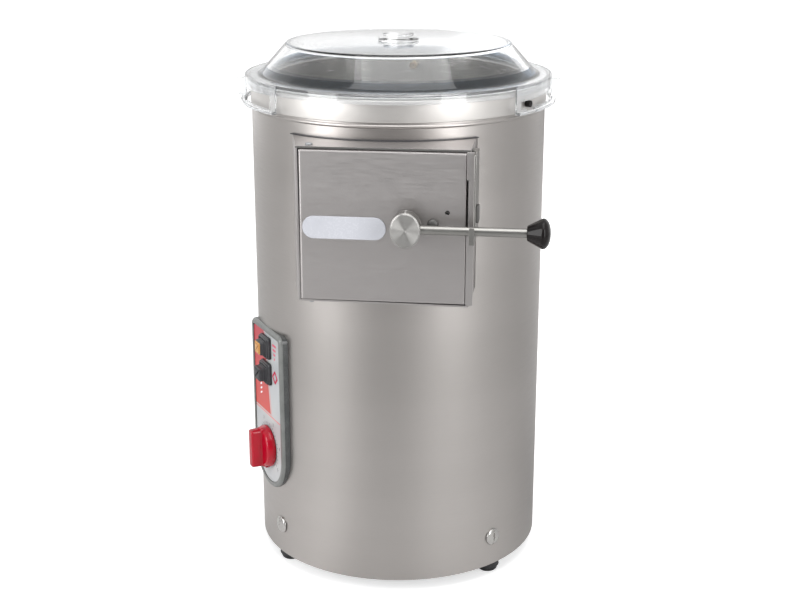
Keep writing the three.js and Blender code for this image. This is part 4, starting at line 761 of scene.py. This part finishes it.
# Rings from the inside over the back edge to the front. An edge follows a quarter turn:
# inset = radius (1 - cos), reach = front - radius (1 - sin)
def doorPan(values):
    keys = ("wall", "frontRadius", "backRadius", "backInset")
    wall, radius, back, ease = (np.array(values[k]) for k in keys)
    turns = np.linspace(0, math.pi / 2, 8)
    front, sheet = values["front"] + 0 * wall, values["sheet"]
    rings = [(wall, front - sheet), (wall, values["back"] + 0 * wall)]
    rings += [(ease + back * (1 - math.sin(q)), values["back"] + back * (1 - math.cos(q))) for q in turns]
    rings += [(radius * (1 - math.cos(q)), front - radius * (1 - math.sin(q))) for q in turns]
    rings += [(radius + 0.8, front), (radius + values["frontMargin"], front)]
    points = np.stack([doorRing(values, *ring) for ring in rings], 1)
    rim = points[:, -1]
    turn = np.arctan2(rim[:, 1] - values["holeZ"], rim[:, 0] - values["holeU"])
    hole = np.stack([values["holeU"] + values["holeRadius"] * np.cos(turn),
                     values["holeZ"] + values["holeRadius"] * np.sin(turn), 0 * turn], 1)
    inner, outer = hole + [0, 0, values["front"] - sheet], hole + [0, 0, values["front"]]
    points = np.concatenate([inner[:, None], points, outer[:, None]], 1)
    n, m = points.shape[:2]
    points = placed(points[..., 0], points[..., 2], points[..., 1])
    finished("door_panel", asMesh("door_panel", points, gridQuads(n, m, True, True)), looks["satinFlat"],
             "door", "door_plate", 50)


doorPan(door)
# Flat strip between the door's free edge and the catch, notched where the latch runs
strip = dict(left=104.3, right=112.5, bottom=389.8, top=564.0, notchLeft=107.3, notchBottom=480.0,
             notchTop=533.0, back=222.6, front=223.4)
stripOutline = np.array([
    (strip["left"], strip["bottom"]), (strip["right"], strip["bottom"]), (strip["right"], strip["top"]),
    (strip["left"], strip["top"]), (strip["left"], strip["notchTop"]),
    (strip["notchLeft"], strip["notchTop"]), (strip["notchLeft"], strip["notchBottom"]),
    (strip["left"], strip["notchBottom"])])
stripProfile = [(0, strip["back"]), (0, strip["front"] - 0.25), (0.25, strip["front"])]
carried("latch_strip", stripOutline, stripProfile, looks["satinFlat"], "casing")
print("chute and door done")

# Clear lid: one closed wall turned about the drum's axis, thick at its foot
lid = dict(top=656.1, wall=4.0, disc=137.0, foot=170.0, coneWall=4.6, bottom=615.1, flangeTop=619.1,
           skirtInner=182.6, radius=186.0, skirtBottom=607.1)
lidProfile = softened([
    (0, lid["top"] - lid["wall"]), (lid["disc"] - 2, lid["top"] - lid["wall"]),
    (lid["foot"] - lid["coneWall"] - 10.6, lid["bottom"] + 12.9),
    (lid["foot"] - lid["coneWall"], lid["bottom"]), (lid["skirtInner"], lid["bottom"]),
    (lid["skirtInner"], lid["skirtBottom"]), (lid["radius"], lid["skirtBottom"]),
    (lid["radius"], lid["flangeTop"]), (lid["foot"], lid["flangeTop"]),
    (lid["foot"] - 7.94, lid["flangeTop"] + 8.9), (lid["disc"], lid["top"]), (0, lid["top"])],
    np.array([0.1, 3.0, 0.05, 4.0, 1.5, 0.8, 1.0, 1.6, 5.0, 0.05, 1.6, 0.1]), steps=6)
lidLooks = [looks[k] for k in ("clearPlastic", "clearPaintedShadeEdge", "clearFrost", "clearPaintedShadeFoot")]
dome = lathe("clear_lid", lidProfile, lidLooks, "lid", "clear_plastic", "lid_dome", sides=240)


# The flange gets the frosted look; the thick rim of the top disc and the moulded foot get dark tinted
# looks, painted shade for the dark surroundings seen through thick plastic. A band is a material's number,
# then the lowest and highest radius and height of the faces that take it
def tintEdges(piece, bands):
    mesh = piece.data
    centre = np.empty(len(mesh.polygons) * 3)
    mesh.polygons.foreach_get("center", centre)
    centre = centre.reshape(-1, 3) / mm
    r = np.hypot(centre[:, 0], centre[:, 1])
    chosen = np.zeros(len(r), int)
    for index, r0, r1, z0, z1 in bands:
        chosen[(r > r0) & (r < r1) & (centre[:, 2] > z0) & (centre[:, 2] < z1)] = index
    mesh.polygons.foreach_set("material_index", chosen.astype(np.int32))


lidBands = dict(flange=(2, 172.5, 187.0, 600.0, 619.2), rim=(1, 135.2, 139.5, 651.0, 655.9),
                foot=(3, 154.6, 172.5, 614.0, 628.1))
tintEdges(dome, lidBands.values())

# The ears hang from the lid's flange on both sides. Their angles are degrees from the ear's middle
ear = dict(centre=96.0, half=42.5, inner=186.1, outer=188.5, bottom=586.1, top=619.0, flange=193.9,
           flangeHeight=3.5, grip=200.0, gripHalf=9.0, gripHeight=25.0, railHeight=2.5, windowTop=613.0,
           windowFrom=-39.5, windowTo=39.0, windowLow=(591.7, 590.1), windowHigh=(600.5, 606.7),
           notches=((-36.1, -30.9), (7.5, 15.5)),
           columns=(-42.5, -41, -39.5, -36.1, -33.5, -30.9, -24, -17, -10, -3, 2, 7.5, 11.5, 15.5, 21, 27,
                    33, 39, 40.7, 42.5))


# Point = (r sin a, -r cos a, row height). Cells between slanted rows are the bottom rail, the window
# and the top rail, left open in the window and at the two stud notches
def earWall(name, turn, values):
    columns = np.array(values["columns"], float)
    ends = (values["windowFrom"], values["windowTo"])
    low, high = (np.interp(columns, ends, values[k]) for k in ("windowLow", "windowHigh"))
    bottom = np.full_like(low, values["bottom"])
    rows = np.stack([bottom, bottom + values["railHeight"], low, high, 0 * low + values["windowTop"],
                     0 * low + values["top"]], 1)
    a = np.radians(columns + values["centre"] + turn)[:, None]
    outer, inner = (np.stack([r * np.sin(a) + 0 * rows, -r * np.cos(a) + 0 * rows, rows], -1)
                    for r in (values["outer"], values["inner"]))
    middle = (columns[1:] + columns[:-1]) / 2
    cell = np.ones((len(columns) - 1, rows.shape[1] - 1), bool)
    cell[(middle > ends[0]) & (middle < ends[1]), 2] = False
    for start, end in values["notches"]:
        cell[(middle > start) & (middle < end), :2] = False
    shell = closedShell(name, outer, inner, gridQuads(*rows.shape, kept=cell))
    piece = finished(name, shell, looks["clearFrost"], "lid", sharpAngle=30)
    rounded = piece.modifiers.new("edges", "BEVEL")
    rounded.limit_method, rounded.angle_limit = "ANGLE", math.radians(50)
    rounded.width, rounded.segments = 0.7 * mm, 2


for side, turn in (("right", 0.0), ("left", 180.0)):
    earWall(f"lid_ear_{side}", turn, ear)
    span = ear["centre"] + turn + np.linspace(-ear["half"], ear["half"], 81)
    section = roundedBox(ear["outer"] + 0.05, ear["flange"], ear["bottom"],
                         ear["bottom"] + ear["flangeHeight"], 1.2, 4)
    sweptBar(f"lid_ear_flange_{side}", section, span, looks["clearFrost"], "lid")
    outline = roundedBox(-ear["gripHalf"], ear["gripHalf"], ear["bottom"] + 3.6,
                         ear["bottom"] + ear["gripHeight"], 3.0)
    profile = softened([(0, ear["outer"] + 0.1), (0, ear["grip"]), (4.0, ear["grip"])], [0, 2.2, 0], 5)
    carried(f"lid_grip_{side}", outline, profile, looks["clearFrost"], "lid",
            azimuth=ear["centre"] + turn)

# Low knob in the lid's centre: a wide foot, a waist and a cap
handle = dict(foot=25.0, waist=13.0, cap=19.0, bottom=656.4, footTop=659.4, waistLow=660.2, waistHigh=661.4,
              capLow=662.6, top=665.8)
lathe("lid_handle", [
    (0, handle["bottom"]), (handle["foot"], handle["bottom"]), (handle["foot"], handle["footTop"]),
    (handle["waist"], handle["waistLow"]), (handle["waist"], handle["waistHigh"]),
    (handle["cap"], handle["capLow"]), (handle["cap"], handle["top"]), (0, handle["top"])],
    [looks["clearPlastic"], looks["clearPaintedShadeEdge"]], "lid", "clear_plastic", "lid_knob", sides=96,
    soften=np.array([0, 0.8, 1.4, 1.2, 1.2, 0.8, 1.6, 0]))

studs = dict(z=596.0, radius=4.0, tip=188.2, root=178.5, dimple=1.4, dimpleDeep=1.2, azimuths=(62.5, 242.5))
for side, azimuth in zip(("right", "left"), studs["azimuths"]):
    lathe(f"lock_stud_{side}", [
        (0, studs["root"]), (studs["radius"], studs["root"]), (studs["radius"], studs["tip"]),
        (studs["dimple"], studs["tip"]), (studs["dimple"] - 0.5, studs["tip"] - studs["dimpleDeep"]),
        (0, studs["tip"] - studs["dimpleDeep"])],
        looks["glossBlack"], "casing", "black_plastic", f"bayonet_stud_{side}", sides=40, axis="out",
        azimuth=azimuth, z=studs["z"], soften=0.5)
print("lid done")

# Control panel: a moulded bezel round a printed film, two push buttons and a red timer knob
panel = dict(azimuth=-56.6, half=50.0, bottom=100.0, top=314.0, corner=9.0, front=184.5, border=7.0,
             bevel=2.4, face=183.3, faceBack=181.3, back=170.0, seat=175.0, drumRadius=181.15,
             rimReach=181.6, frontDepth=3.5)


# Outline of the panel: a half circle (half cos t, centre + half sin t) below, straight sides,
# rounded corners above
def panelOutline(inset, corner):
    half, top, centre = panel["half"] - inset, panel["top"] - inset, panel["bottom"] + panel["half"]
    t = np.radians(np.linspace(180, 360, 49))
    low = np.stack([half * np.cos(t), centre + half * np.sin(t)], 1)
    q = np.radians(np.linspace(0, 90, 7))
    right = np.stack([half - corner + corner * np.cos(q), top - corner + corner * np.sin(q)], 1)
    left = np.stack([-half + corner - corner * np.sin(q), top - corner + corner * np.cos(q)], 1)
    side = np.linspace(centre, top - corner, 14)[1:-1]
    return np.concatenate([low, np.stack([np.full(12, half), side], 1), right, left,
                           np.stack([np.full(12, -half), side[::-1]], 1)])


# The bezel is carried round that outline. Up to its seat it follows the drum: reach = square root of
# (drum radius squared - u squared), plus a fifth of what is left to the rim. Front faces get the second
# look,
# a lighter copy of the same grey: painted light on the front, painted shade on the sides
def panelBezel(values):
    back, seat, front, border, bevel = (values[k] for k in ("back", "seat", "front", "border", "bevel"))
    profile = softened([(0, back), (0, seat), (0, front - bevel), (bevel, front), (border, front),
                        (border, seat), (border, back)], np.array([0, 0, 1.2, 1.0, 0.9, 0, 0]), 4)
    points = carriedPoints(panelOutline(0, values["corner"]), profile)
    u, reach = points[..., 0], -points[..., 1]
    drumReach = np.sqrt(values["drumRadius"] ** 2 - u ** 2)
    span = np.clip((reach - back) / (seat - back), 0, 1)
    hugging = drumReach + span * np.minimum(1.0, (values["rimReach"] - drumReach) * 0.2)
    points = placed(u, np.where(reach <= seat + 0.001, hugging, reach), points[..., 2], values["azimuth"])
    faces = gridQuads(*points.shape[:2], closeRows=True, closeColumns=True)
    piece = finished("panel_surround", asMesh("panel_surround", points, faces),
                     [looks["bezelPaintedShade"], looks["bezelPaintedLight"]], "casing", "panel_bezel", 30)
    polygons = piece.data.polygons
    centre = np.empty(len(polygons) * 3)
    polygons.foreach_get("center", centre)
    paintedLitFront = centre.reshape(-1, 3) @ directions(values["azimuth"])[1] / mm > front - values["frontDepth"]
    polygons.foreach_set("material_index", paintedLitFront.astype(np.int32))


panelBezel(panel)

# The film's print, in metres on the panel. One pair is a mask's start and end, two pairs its rise and fall
film = dict(slope=-0.16, pivot=0.25, field=(0.0012, 0.0008), foot=(0.1995, 0.2),
            sideLine=((0.0034, 0.0036), (0.0048, 0.0046)), footLine=((0.1965, 0.1967), (0.1982, 0.198)),
            shade=(0.2, 0.31), grey=((0.43, 0.445, 0.46), (0.48, 0.49, 0.49)),
            coral=((0.55, 0.05, 0.035), (0.42, 0.02, 0.04)), line=(0.7, 0.16, 0.14),
            grain=(1600.0, 25.0, 0.03), roughness=(0.28, 0.4))


# Coral where u is less than slope * (z - pivot) and z is above the foot, a thin line along both edges,
# and grey clouds elsewhere; u = x cos a + y sin a is the sideways distance at the panel's azimuth a
def panelFilmMaterial(values):
    material, tree, bsdf = newMaterial("panelFilm")
    coordinates = node(tree, "TexCoord").outputs["Object"]
    parts = node(tree, "SeparateXYZ", {0: coordinates}).outputs
    a, z = math.radians(panel["azimuth"]), parts["Z"]
    u = mathNode(tree, "ADD", mathNode(tree, "MULTIPLY", parts["X"], math.cos(a)),
                 mathNode(tree, "MULTIPLY", parts["Y"], math.sin(a)))
    leaning = mathNode(tree, "MULTIPLY", mathNode(tree, "SUBTRACT", z, values["pivot"]), values["slope"])
    slant = mathNode(tree, "SUBTRACT", u, leaning)

    def band(value, key):
        rise, fall = values[key]
        return mathNode(tree, "MULTIPLY", mapRange(tree, value, *rise), mapRange(tree, value, *fall))

    above = mapRange(tree, z, *values["foot"])
    coral = mathNode(tree, "MULTIPLY", mapRange(tree, slant, *values["field"]), above)
    lines = mathNode(tree, "MAXIMUM", mathNode(tree, "MULTIPLY", band(slant, "sideLine"), above),
                     band(z, "footLine"))
    grain = grainOutputs(tree, coordinates, *values["grain"])
    plain = mixColour(tree, mapRange(tree, grain["Clouds"], *softBand), *values["grey"])
    warm = mixColour(tree, mapRange(tree, z, *values["shade"]), *values["coral"])
    base = mixColour(tree, coral, plain, warm)
    feed(tree, bsdf, {"Base Color": mixColour(tree, lines, base, values["line"]), "Normal": grain["Normal"],
                      "Roughness": mapRange(tree, grain["Streaks"], *wideBand, *values["roughness"])})
    return material


looks["panelFilm"] = panelFilmMaterial(film)
carried("panel_film", panelOutline(panel["border"] + 0.3, panel["corner"] / 2),
        softened([(0, panel["faceBack"]), (0, panel["face"]), (1.2, panel["face"])], [0, 0.3, 0], 2),
        looks["panelFilm"], "casing", "panel_face", azimuth=panel["azimuth"])

ink = dict(reach=183.32, thick=0.12)  # printed marks stand just proud of the film


# Thin raised print of a short generic text, stood upright on the panel
def printed(name, words, height, u, z, material):
    curve = bpy.data.curves.new(name, "FONT")
    curve.body, curve.size = words, height * mm
    curve.align_x, curve.align_y = "CENTER", "CENTER"
    curve.extrude = ink["thick"] * mm / 2
    holder = bpy.data.objects.new(name + "_text", curve)
    scene.collection.objects.link(holder)
    bpy.context.view_layer.update()
    mesh = bpy.data.meshes.new_from_object(holder.evaluated_get(bpy.context.evaluated_depsgraph_get()))
    bpy.data.objects.remove(holder)
    flat = np.empty(len(mesh.vertices) * 3)
    mesh.vertices.foreach_get("co", flat)
    flat = flat.reshape(-1, 3) / mm
    reach = ink["reach"] + ink["thick"] / 2 + flat[:, 2]
    points = placed(u + flat[:, 0], reach, z + flat[:, 1], panel["azimuth"])
    mesh.vertices.foreach_set("co", (points * mm).reshape(-1))
    mesh.name = name
    mesh.materials.clear()
    finished(name, mesh, material, "casing", weld=1e-6)


# Flat printed marks: each a thin rounded block of given half sizes, turned in the panel's plane
def printedMarks(name, marks, material):
    points, faces = [], []
    base = roundedBox(-1, 1, -1, 1, 0.35, 3)
    n = len(base)
    i = np.arange(n)
    after = (i + 1) % n
    for u, z, halfU, halfZ, turn in marks:
        c, s = math.cos(math.radians(turn)), math.sin(math.radians(turn))
        x, y = base[:, 0] * halfU, base[:, 1] * halfZ
        start = n * len(points)
        for level in (ink["reach"], ink["reach"] + ink["thick"]):
            points.append(placed(u + x * c - y * s, level, z + x * s + y * c, panel["azimuth"]))
        faces += (start + np.stack([i, after, n + after, n + i], 1)).tolist()
        faces += [(start + i[::-1]).tolist(), (start + n + i).tolist()]
    finished(name, asMesh(name, np.concatenate(points), faces), material, "casing", weld=1e-7)


timer = dict(z=155.0, foot=183.6, radius=27.0, topRadius=24.0, base=11.0, grip=208.8, half=6.5,
             halfLength=25.4, gripCorner=4.0, gripBack=192.0, gripFlare=195.6, pointerHalf=1.5,
             pointerNear=25.0, pointerFar=30.3, pointerCorner=0.9, pointerBack=184.0, pointerFront=189.2)
dial = dict(first=-130.0, perTick=10.4, ticks=26, tickRadius=29.8, tickSize=(0.35, 1.4), perNumber=52.0,
            numbers=6, numberRadius=36.6, numberHeight=6.2)


# A place on the dial: (radius sin turn, centre + radius cos turn), with the turn clockwise from the top
def onDial(radius, turn):
    a = math.radians(turn)
    return radius * math.sin(a), timer["z"] + radius * math.cos(a)


tickTurns = [dial["first"] + dial["perTick"] * k for k in range(dial["ticks"])]
printedMarks("dial_ticks", [(*onDial(dial["tickRadius"], t), *dial["tickSize"], -t) for t in tickTurns],
             looks["printInk"])
for k in range(dial["numbers"]):
    printed(f"dial_number_{k}", str(k), dial["numberHeight"],
            *onDial(dial["numberRadius"], dial["first"] + dial["perNumber"] * k), looks["printInk"])

# Bars beside the start button, a cross beside the stop button, three short dashes on the coral field
marks = dict(u=27.0, bars=((296.5, 6.4), (290.7, 4.9), (284.9, 3.2), (279.1, 1.6)), barHalf=1.5,
             crossZ=255.0, crossArm=3.7, crossSize=(6.2, 1.4), dashU=-22.0, dashes=(232.0, 226.0, 220.0),
             dashSize=(3.2, 1.1), dashTurn=30.0)
printedMarks("start_mark", [(marks["u"], z, half, marks["barHalf"], 0) for z, half in marks["bars"]],
             looks["printRose"])
arm = marks["crossArm"]
printedMarks("stop_mark", [
    (marks["u"] + arm * s, marks["crossZ"] + arm * q, *marks["crossSize"], -45 * s * q)
    for s in (-1, 1) for q in (-1, 1)], looks["printCrimson"])
printedMarks("field_marks", [(marks["dashU"], z, *marks["dashSize"], marks["dashTurn"])
                             for z in marks["dashes"]], looks["printWhite"])
print("panel print done")

# Push buttons. A size is half width, half height and corner radius; steps are pairs of inset and reach
buttons = dict(u=2.0, startZ=289.0, stopZ=255.0, startFront=195.6, stopFront=197.8,
               keySize=(10.5, 9.5, 2.4), collarSize=(15.0, 14.0, 3.2), lampSize=(8.2, 7.4, 1.8),
               keySteps=((0, 187.95), (0, 189.6), (0.7, 190.2), (0.7, 192.0), (1.3, 192.6)),
               collarSteps=((0, 183.6), (0, 186.6), (1.4, 187.6), (1.4, 188.6), (2.3, 189.6), (3.5, 189.6),
                            (3.5, 183.6)))


# Outline about a button's centre: u and z plus and minus the half sizes, corners rounded
def buttonOutline(z, size):
    halfU, halfZ, corner = size
    return roundedBox(buttons["u"] - halfU, buttons["u"] + halfU, z - halfZ, z + halfZ, corner)


# Square key in nested rounded steps; each step is one ring of the carried profile
def stepButton(name, z, front, body, replaced):
    profile = softened([*buttons["keySteps"], (1.4, front - 1.0), (2.0, front), (4.4, front)], 0.4, 3)
    carried(name, buttonOutline(z, buttons["keySize"]), profile, looks["greyRubber"], body,
            replaced, azimuth=panel["azimuth"])


# Stepped collar round a key, carried in the same way but closed into a tube
def buttonCollar(name, z, replaced):
    profile = softened(buttons["collarSteps"], 0.5, 3, closed=True)
    carried(name, buttonOutline(z, buttons["collarSize"]), profile, looks["greyRubber"], "casing",
            replaced, azimuth=panel["azimuth"], closed=True)


buttonCollar("start_gaiter", buttons["startZ"], "start_collar")
buttonCollar("stop_gaiter", buttons["stopZ"], "stop_collar")
stepButton("start_key", buttons["startZ"], buttons["startFront"], "start", "start_button")
stepButton("stop_key", buttons["stopZ"], buttons["stopFront"], "stop", "stop_button")
lampProfile = softened([(0, buttons["startFront"] - 0.6), (0, buttons["startFront"] + 0.9),
                        (2.5, buttons["startFront"] + 1.2)], [0, 0.6, 0], 3)
carried("start_lamp", buttonOutline(buttons["startZ"], buttons["lampSize"]), lampProfile,
        looks["amberLens"], "start", "start_lens", azimuth=panel["azimuth"])


# The knob's round skirt is turned; its grip bar and its pointer are outlines carried along a profile
def timerKnob(values):
    z, foot, azimuth = values["z"], values["foot"], panel["azimuth"]
    lathe("timer_skirt", [
        (0, foot), (values["radius"] - 1.2, foot), (values["radius"], foot + 1.2),
        (values["radius"], foot + 4), (values["topRadius"], foot + values["base"]),
        (values["topRadius"] - 5, foot + values["base"] + 0.6), (0, foot + values["base"] + 0.6)],
        looks["glossRed"], "timer", "red_plastic", "timer_knob", sides=112, axis="out", azimuth=azimuth,
        z=z, soften=np.array([0, 0.5, 0.8, 1.2, 2.6, 1.5, 0]))
    outline = roundedBox(-values["half"], values["half"], z - values["halfLength"],
                         z + values["halfLength"], values["gripCorner"])
    profile = softened([(-1.6, values["gripBack"]), (0, values["gripFlare"]), (0.5, values["grip"] - 1.4),
                        (1.6, values["grip"]), (4.5, values["grip"])], [0, 2.0, 1.2, 1.0, 0], 4)
    carried("timer_grip", outline, profile, looks["glossRed"], "timer", azimuth=azimuth)
    outline = roundedBox(-values["pointerHalf"], values["pointerHalf"], z - values["pointerFar"],
                         z - values["pointerNear"], values["pointerCorner"])
    front = values["pointerFront"]
    profile = softened([(0, values["pointerBack"]), (0, front - 0.4), (0.7, front)], [0, 0.5, 0], 3)
    carried("timer_pointer", outline, profile, looks["glossRed"], "timer", azimuth=azimuth)


timerKnob(timer)
print("panel done")

# Lever: oval hub on a round boss, rod and black cone knob
lever = dict(x=39.3, z=480.6, halfWidth=17.0, halfHeight=19.8, back=233.3, front=251.3, edge=1.6,
             neckRadius=13.0, neckBack=222.7, neckFront=233.0, rodReach=242.3, rodRadius=5.0, rodStart=46.0,
             rodEnd=185.0, gripSoften=(0, 1.2, 1.5, 1.2, 1.2, 2.5, 2.5, 0),
             grip=((0, 172.0), (8.2, 172.0), (16.2, 187.4), (17, 189.6), (16.4, 192.0), (13.2, 195.2),
                   (7, 197.4), (0, 198.0)))
turnedSteel = dict(colour=(0.6, 0.59, 0.57), second=(0.66, 0.65, 0.63), metallic=1.0, bump=0.12)
hubSteel = dict(turnedSteel, colour=tuple(0.72 * c for c in turnedSteel["colour"]),
                second=tuple(0.72 * c for c in turnedSteel["second"]))
looks["hubFace"] = grainMaterial(
    "hubFace", roughness=(0.4, 0.48), vector="turned", streak=2600.0, cloud=60.0, Anisotropic=0.95,
    centre=(lever["x"] * mm, 0.0, lever["z"] * mm), stretch=(1.0, 0.0, 1.0), **hubSteel)
lathe("lever_disc", [
    (0, lever["back"]), (lever["halfHeight"] - 1.2, lever["back"]),
    (lever["halfHeight"], lever["back"] + 1.2), (lever["halfHeight"], lever["front"] - lever["edge"]),
    (lever["halfHeight"] - lever["edge"], lever["front"]), (0, lever["front"])],
    looks["hubFace"], "lever", "bright_steel", "lever_hub", sides=128, axis="out", u=lever["x"],
    z=lever["z"], ovalU=lever["halfWidth"] / lever["halfHeight"], soften=0.5, sharpAngle=30)
lathe("lever_neck", barProfile(lever["neckRadius"], lever["neckBack"], lever["neckFront"]),
      looks["brushedSteel"], "door", "bright_steel", "lever_boss", sides=80, axis="out", u=lever["x"],
      z=lever["z"], soften=0.5)
lathe("lever_bar", barProfile(lever["rodRadius"], lever["rodStart"], lever["rodEnd"]),
      looks["brushedSteel"], "lever", "bright_steel", "lever_rod", sides=48, axis="side",
      reach=lever["rodReach"], z=lever["z"], soften=0.6)
lathe("lever_grip", lever["grip"], looks["glossBlack"], "lever", "black_plastic", "lever_knob", sides=96,
      axis="side", reach=lever["rodReach"], z=lever["z"], soften=np.array(lever["gripSoften"]))

# On the door: a domed bolt behind the rod and a bare badge plate
bolt = dict(u=67.4, z=482.6, profile=((0, 222.6), (6.2, 222.6), (6.2, 225.4), (5.4, 227.2), (3.0, 228.4),
                                      (0, 228.6)))
# The bolt's dark look is painted shade on steel, where it sits behind the rod
lathe("door_stud", bolt["profile"], looks["blackAndPaintedShade"], "door", "bright_steel", "door_bolt", sides=56,
      axis="out", u=bolt["u"], z=bolt["z"], soften=0.7)
badge = dict(u=-32.5, half=47.25, bottom=462.0, top=488.0, corner=12.8, back=222.6, front=223.4)
badgeOutline = roundedBox(badge["u"] - badge["half"], badge["u"] + badge["half"], badge["bottom"],
                          badge["top"], badge["corner"], 16)
badgeProfile = softened([(0, badge["back"]), (0, badge["front"] - 0.3), (0.3, badge["front"]),
                         (1.4, badge["front"]), (4.0, badge["front"])], [0, 0.15, 0.2, 0, 0], 3)
carried("badge", badgeOutline, badgeProfile, looks["badgeWhite"], "door", "badge_plate")

# Both visible ends of the hinge pin: its head on the shelf above the door and its tail below
hinge = dict(u=-72.5, reach=212.3, radius=3.0, head=4.2, shelf=564.2, headBottom=566.5, headTop=568.4,
             tailBottom=384.6, tailTop=389.8)
lathe("hinge_head", [
    (0, hinge["shelf"]), (hinge["radius"], hinge["shelf"]), (hinge["radius"], hinge["headBottom"]),
    (hinge["head"], hinge["headBottom"]), (hinge["head"], hinge["headTop"] - 0.8),
    (hinge["radius"], hinge["headTop"]), (0, hinge["headTop"])],
    looks["darkSteel"], "casing", "bright_steel", "hinge_pin", sides=40, u=hinge["u"], reach=hinge["reach"],
    soften=0.4)
lathe("hinge_tail", barProfile(hinge["radius"], hinge["tailBottom"], hinge["tailTop"]),
      looks["darkSteel"], "casing", "bright_steel", sides=40, u=hinge["u"], reach=hinge["reach"],
      soften=0.4)

# Catch's front lip and release nub beside the rod
catch = dict(lip=(109.4, 115.2, 466.7, 485.6), lipCorner=0.9, lipBack=248.35, lipFront=250.2,
             nub=(115.5, 118.6, 487.5, 506.5), nubCorner=1.3, nubBack=219.5, nubFront=233.5)
carried("catch_lip", roundedBox(*catch["lip"], catch["lipCorner"], 4),
        softened([(0, catch["lipBack"]), (0, catch["lipFront"]), (0.7, catch["lipFront"])], [0, 0.5, 0], 3),
        looks["brushedSteel"], "casing")
nubProfile = softened([(0, catch["nubBack"]), (0, catch["nubFront"] - 0.5), (1.0, catch["nubFront"])],
                      [0, 1.0, 0], 4)
# On the nub the dark look is its own black plastic
carried("catch_nub", roundedBox(*catch["nub"], catch["nubCorner"], 5), nubProfile, looks["blackAndPaintedShade"],
        "casing")
print("lever and door pieces done")

disc = dict(radius=158.0, flatTo=0.3, level=390.0, wave=2.9, waves=6, edgeFrom=155.0, sides=180,
            underside=[(158, 380.1), (24, 380), (24, 364), (9, 364)])


# Abrasive disc: top height = level + wave * share * cos(waves * turn), with the share growing from
# flatTo of the radius outwards, less a third of (r - edgeFrom) squared at the rim
def abrasiveDisc(values):
    n, radius, rim, flatTo = values["sides"], values["radius"], values["edgeFrom"], values["flatTo"]
    r = np.concatenate([[9.0, 12, 20, 30], np.linspace(40, rim, 24), [156.6, 157.6, radius]])[None]
    t = np.linspace(0, 2 * math.pi, n, endpoint=False)[:, None]
    share = np.clip((r - flatTo * radius) / ((1 - flatTo) * radius), 0, 1)
    fall = np.where(r > rim, (r - rim) ** 2 / 3, 0)
    top = values["level"] + values["wave"] * share * np.cos(values["waves"] * t) - fall
    lowR, lowZ = np.array(values["underside"], float).T
    points = np.concatenate([
        np.stack([r * np.cos(t), r * np.sin(t), top], -1),
        np.stack([lowR * np.cos(t), lowR * np.sin(t), lowZ + 0 * t], -1)], 1)
    faces = gridQuads(n, points.shape[1], closeRows=True, closeColumns=True)
    finished("grit_disc", asMesh("grit_disc", points, faces), looks["gritCoat"], "rotor",
             "abrasive_disc")


abrasiveDisc(disc)
cap = dict(profile=((8.4, 390.4), (17, 390.4), (17, 396.6), (15.4, 398.4), (10.2, 404.6), (6, 406.0),
                    (0, 406.2), (0, 402), (8.4, 402)), soften=(0.3, 0.5, 0.8, 1.0, 1.5, 1.5, 0, 0, 0.3))
lathe("disc_cap", cap["profile"], looks["polishedSteel"], "rotor", "bright_steel", "disc_nut", sides=72,
      soften=np.array(cap["soften"]))
print("rotor done")

# The other nodes keep their CAD shape and get a look each
carriedOver = {
    "darkSteel": ["base_pan", "upper_bearing", "lower_bearing", "motor_plate"],
    "linerSteel": ["chamber_floor"], "castAluminium": ["bearing_housing", "motor_pulley", "driven_pulley"],
    "satinFlat": ["drain_outlet"], "plainBrass": ["water_pipe", "water_inlet"],
    "glossBlack": ["cable_gland", "timer_body", "start_switch", "stop_switch"],
    "blackRubber": ["shaft_seal", "drive_belt"], "paleSilicone": ["door_gasket"],
    "motorIron": ["motor_body"],
    "polishedSteel": ["motor_shaft", "main_shaft", "lever_nut", "timer_spindle"],
}
for look, names in carriedOver.items():
    for nodeName in names:
        nodes[nodeName].data.materials.clear()
        nodes[nodeName].data.materials.append(looks[look])

scene.view_settings.view_transform = "Standard"
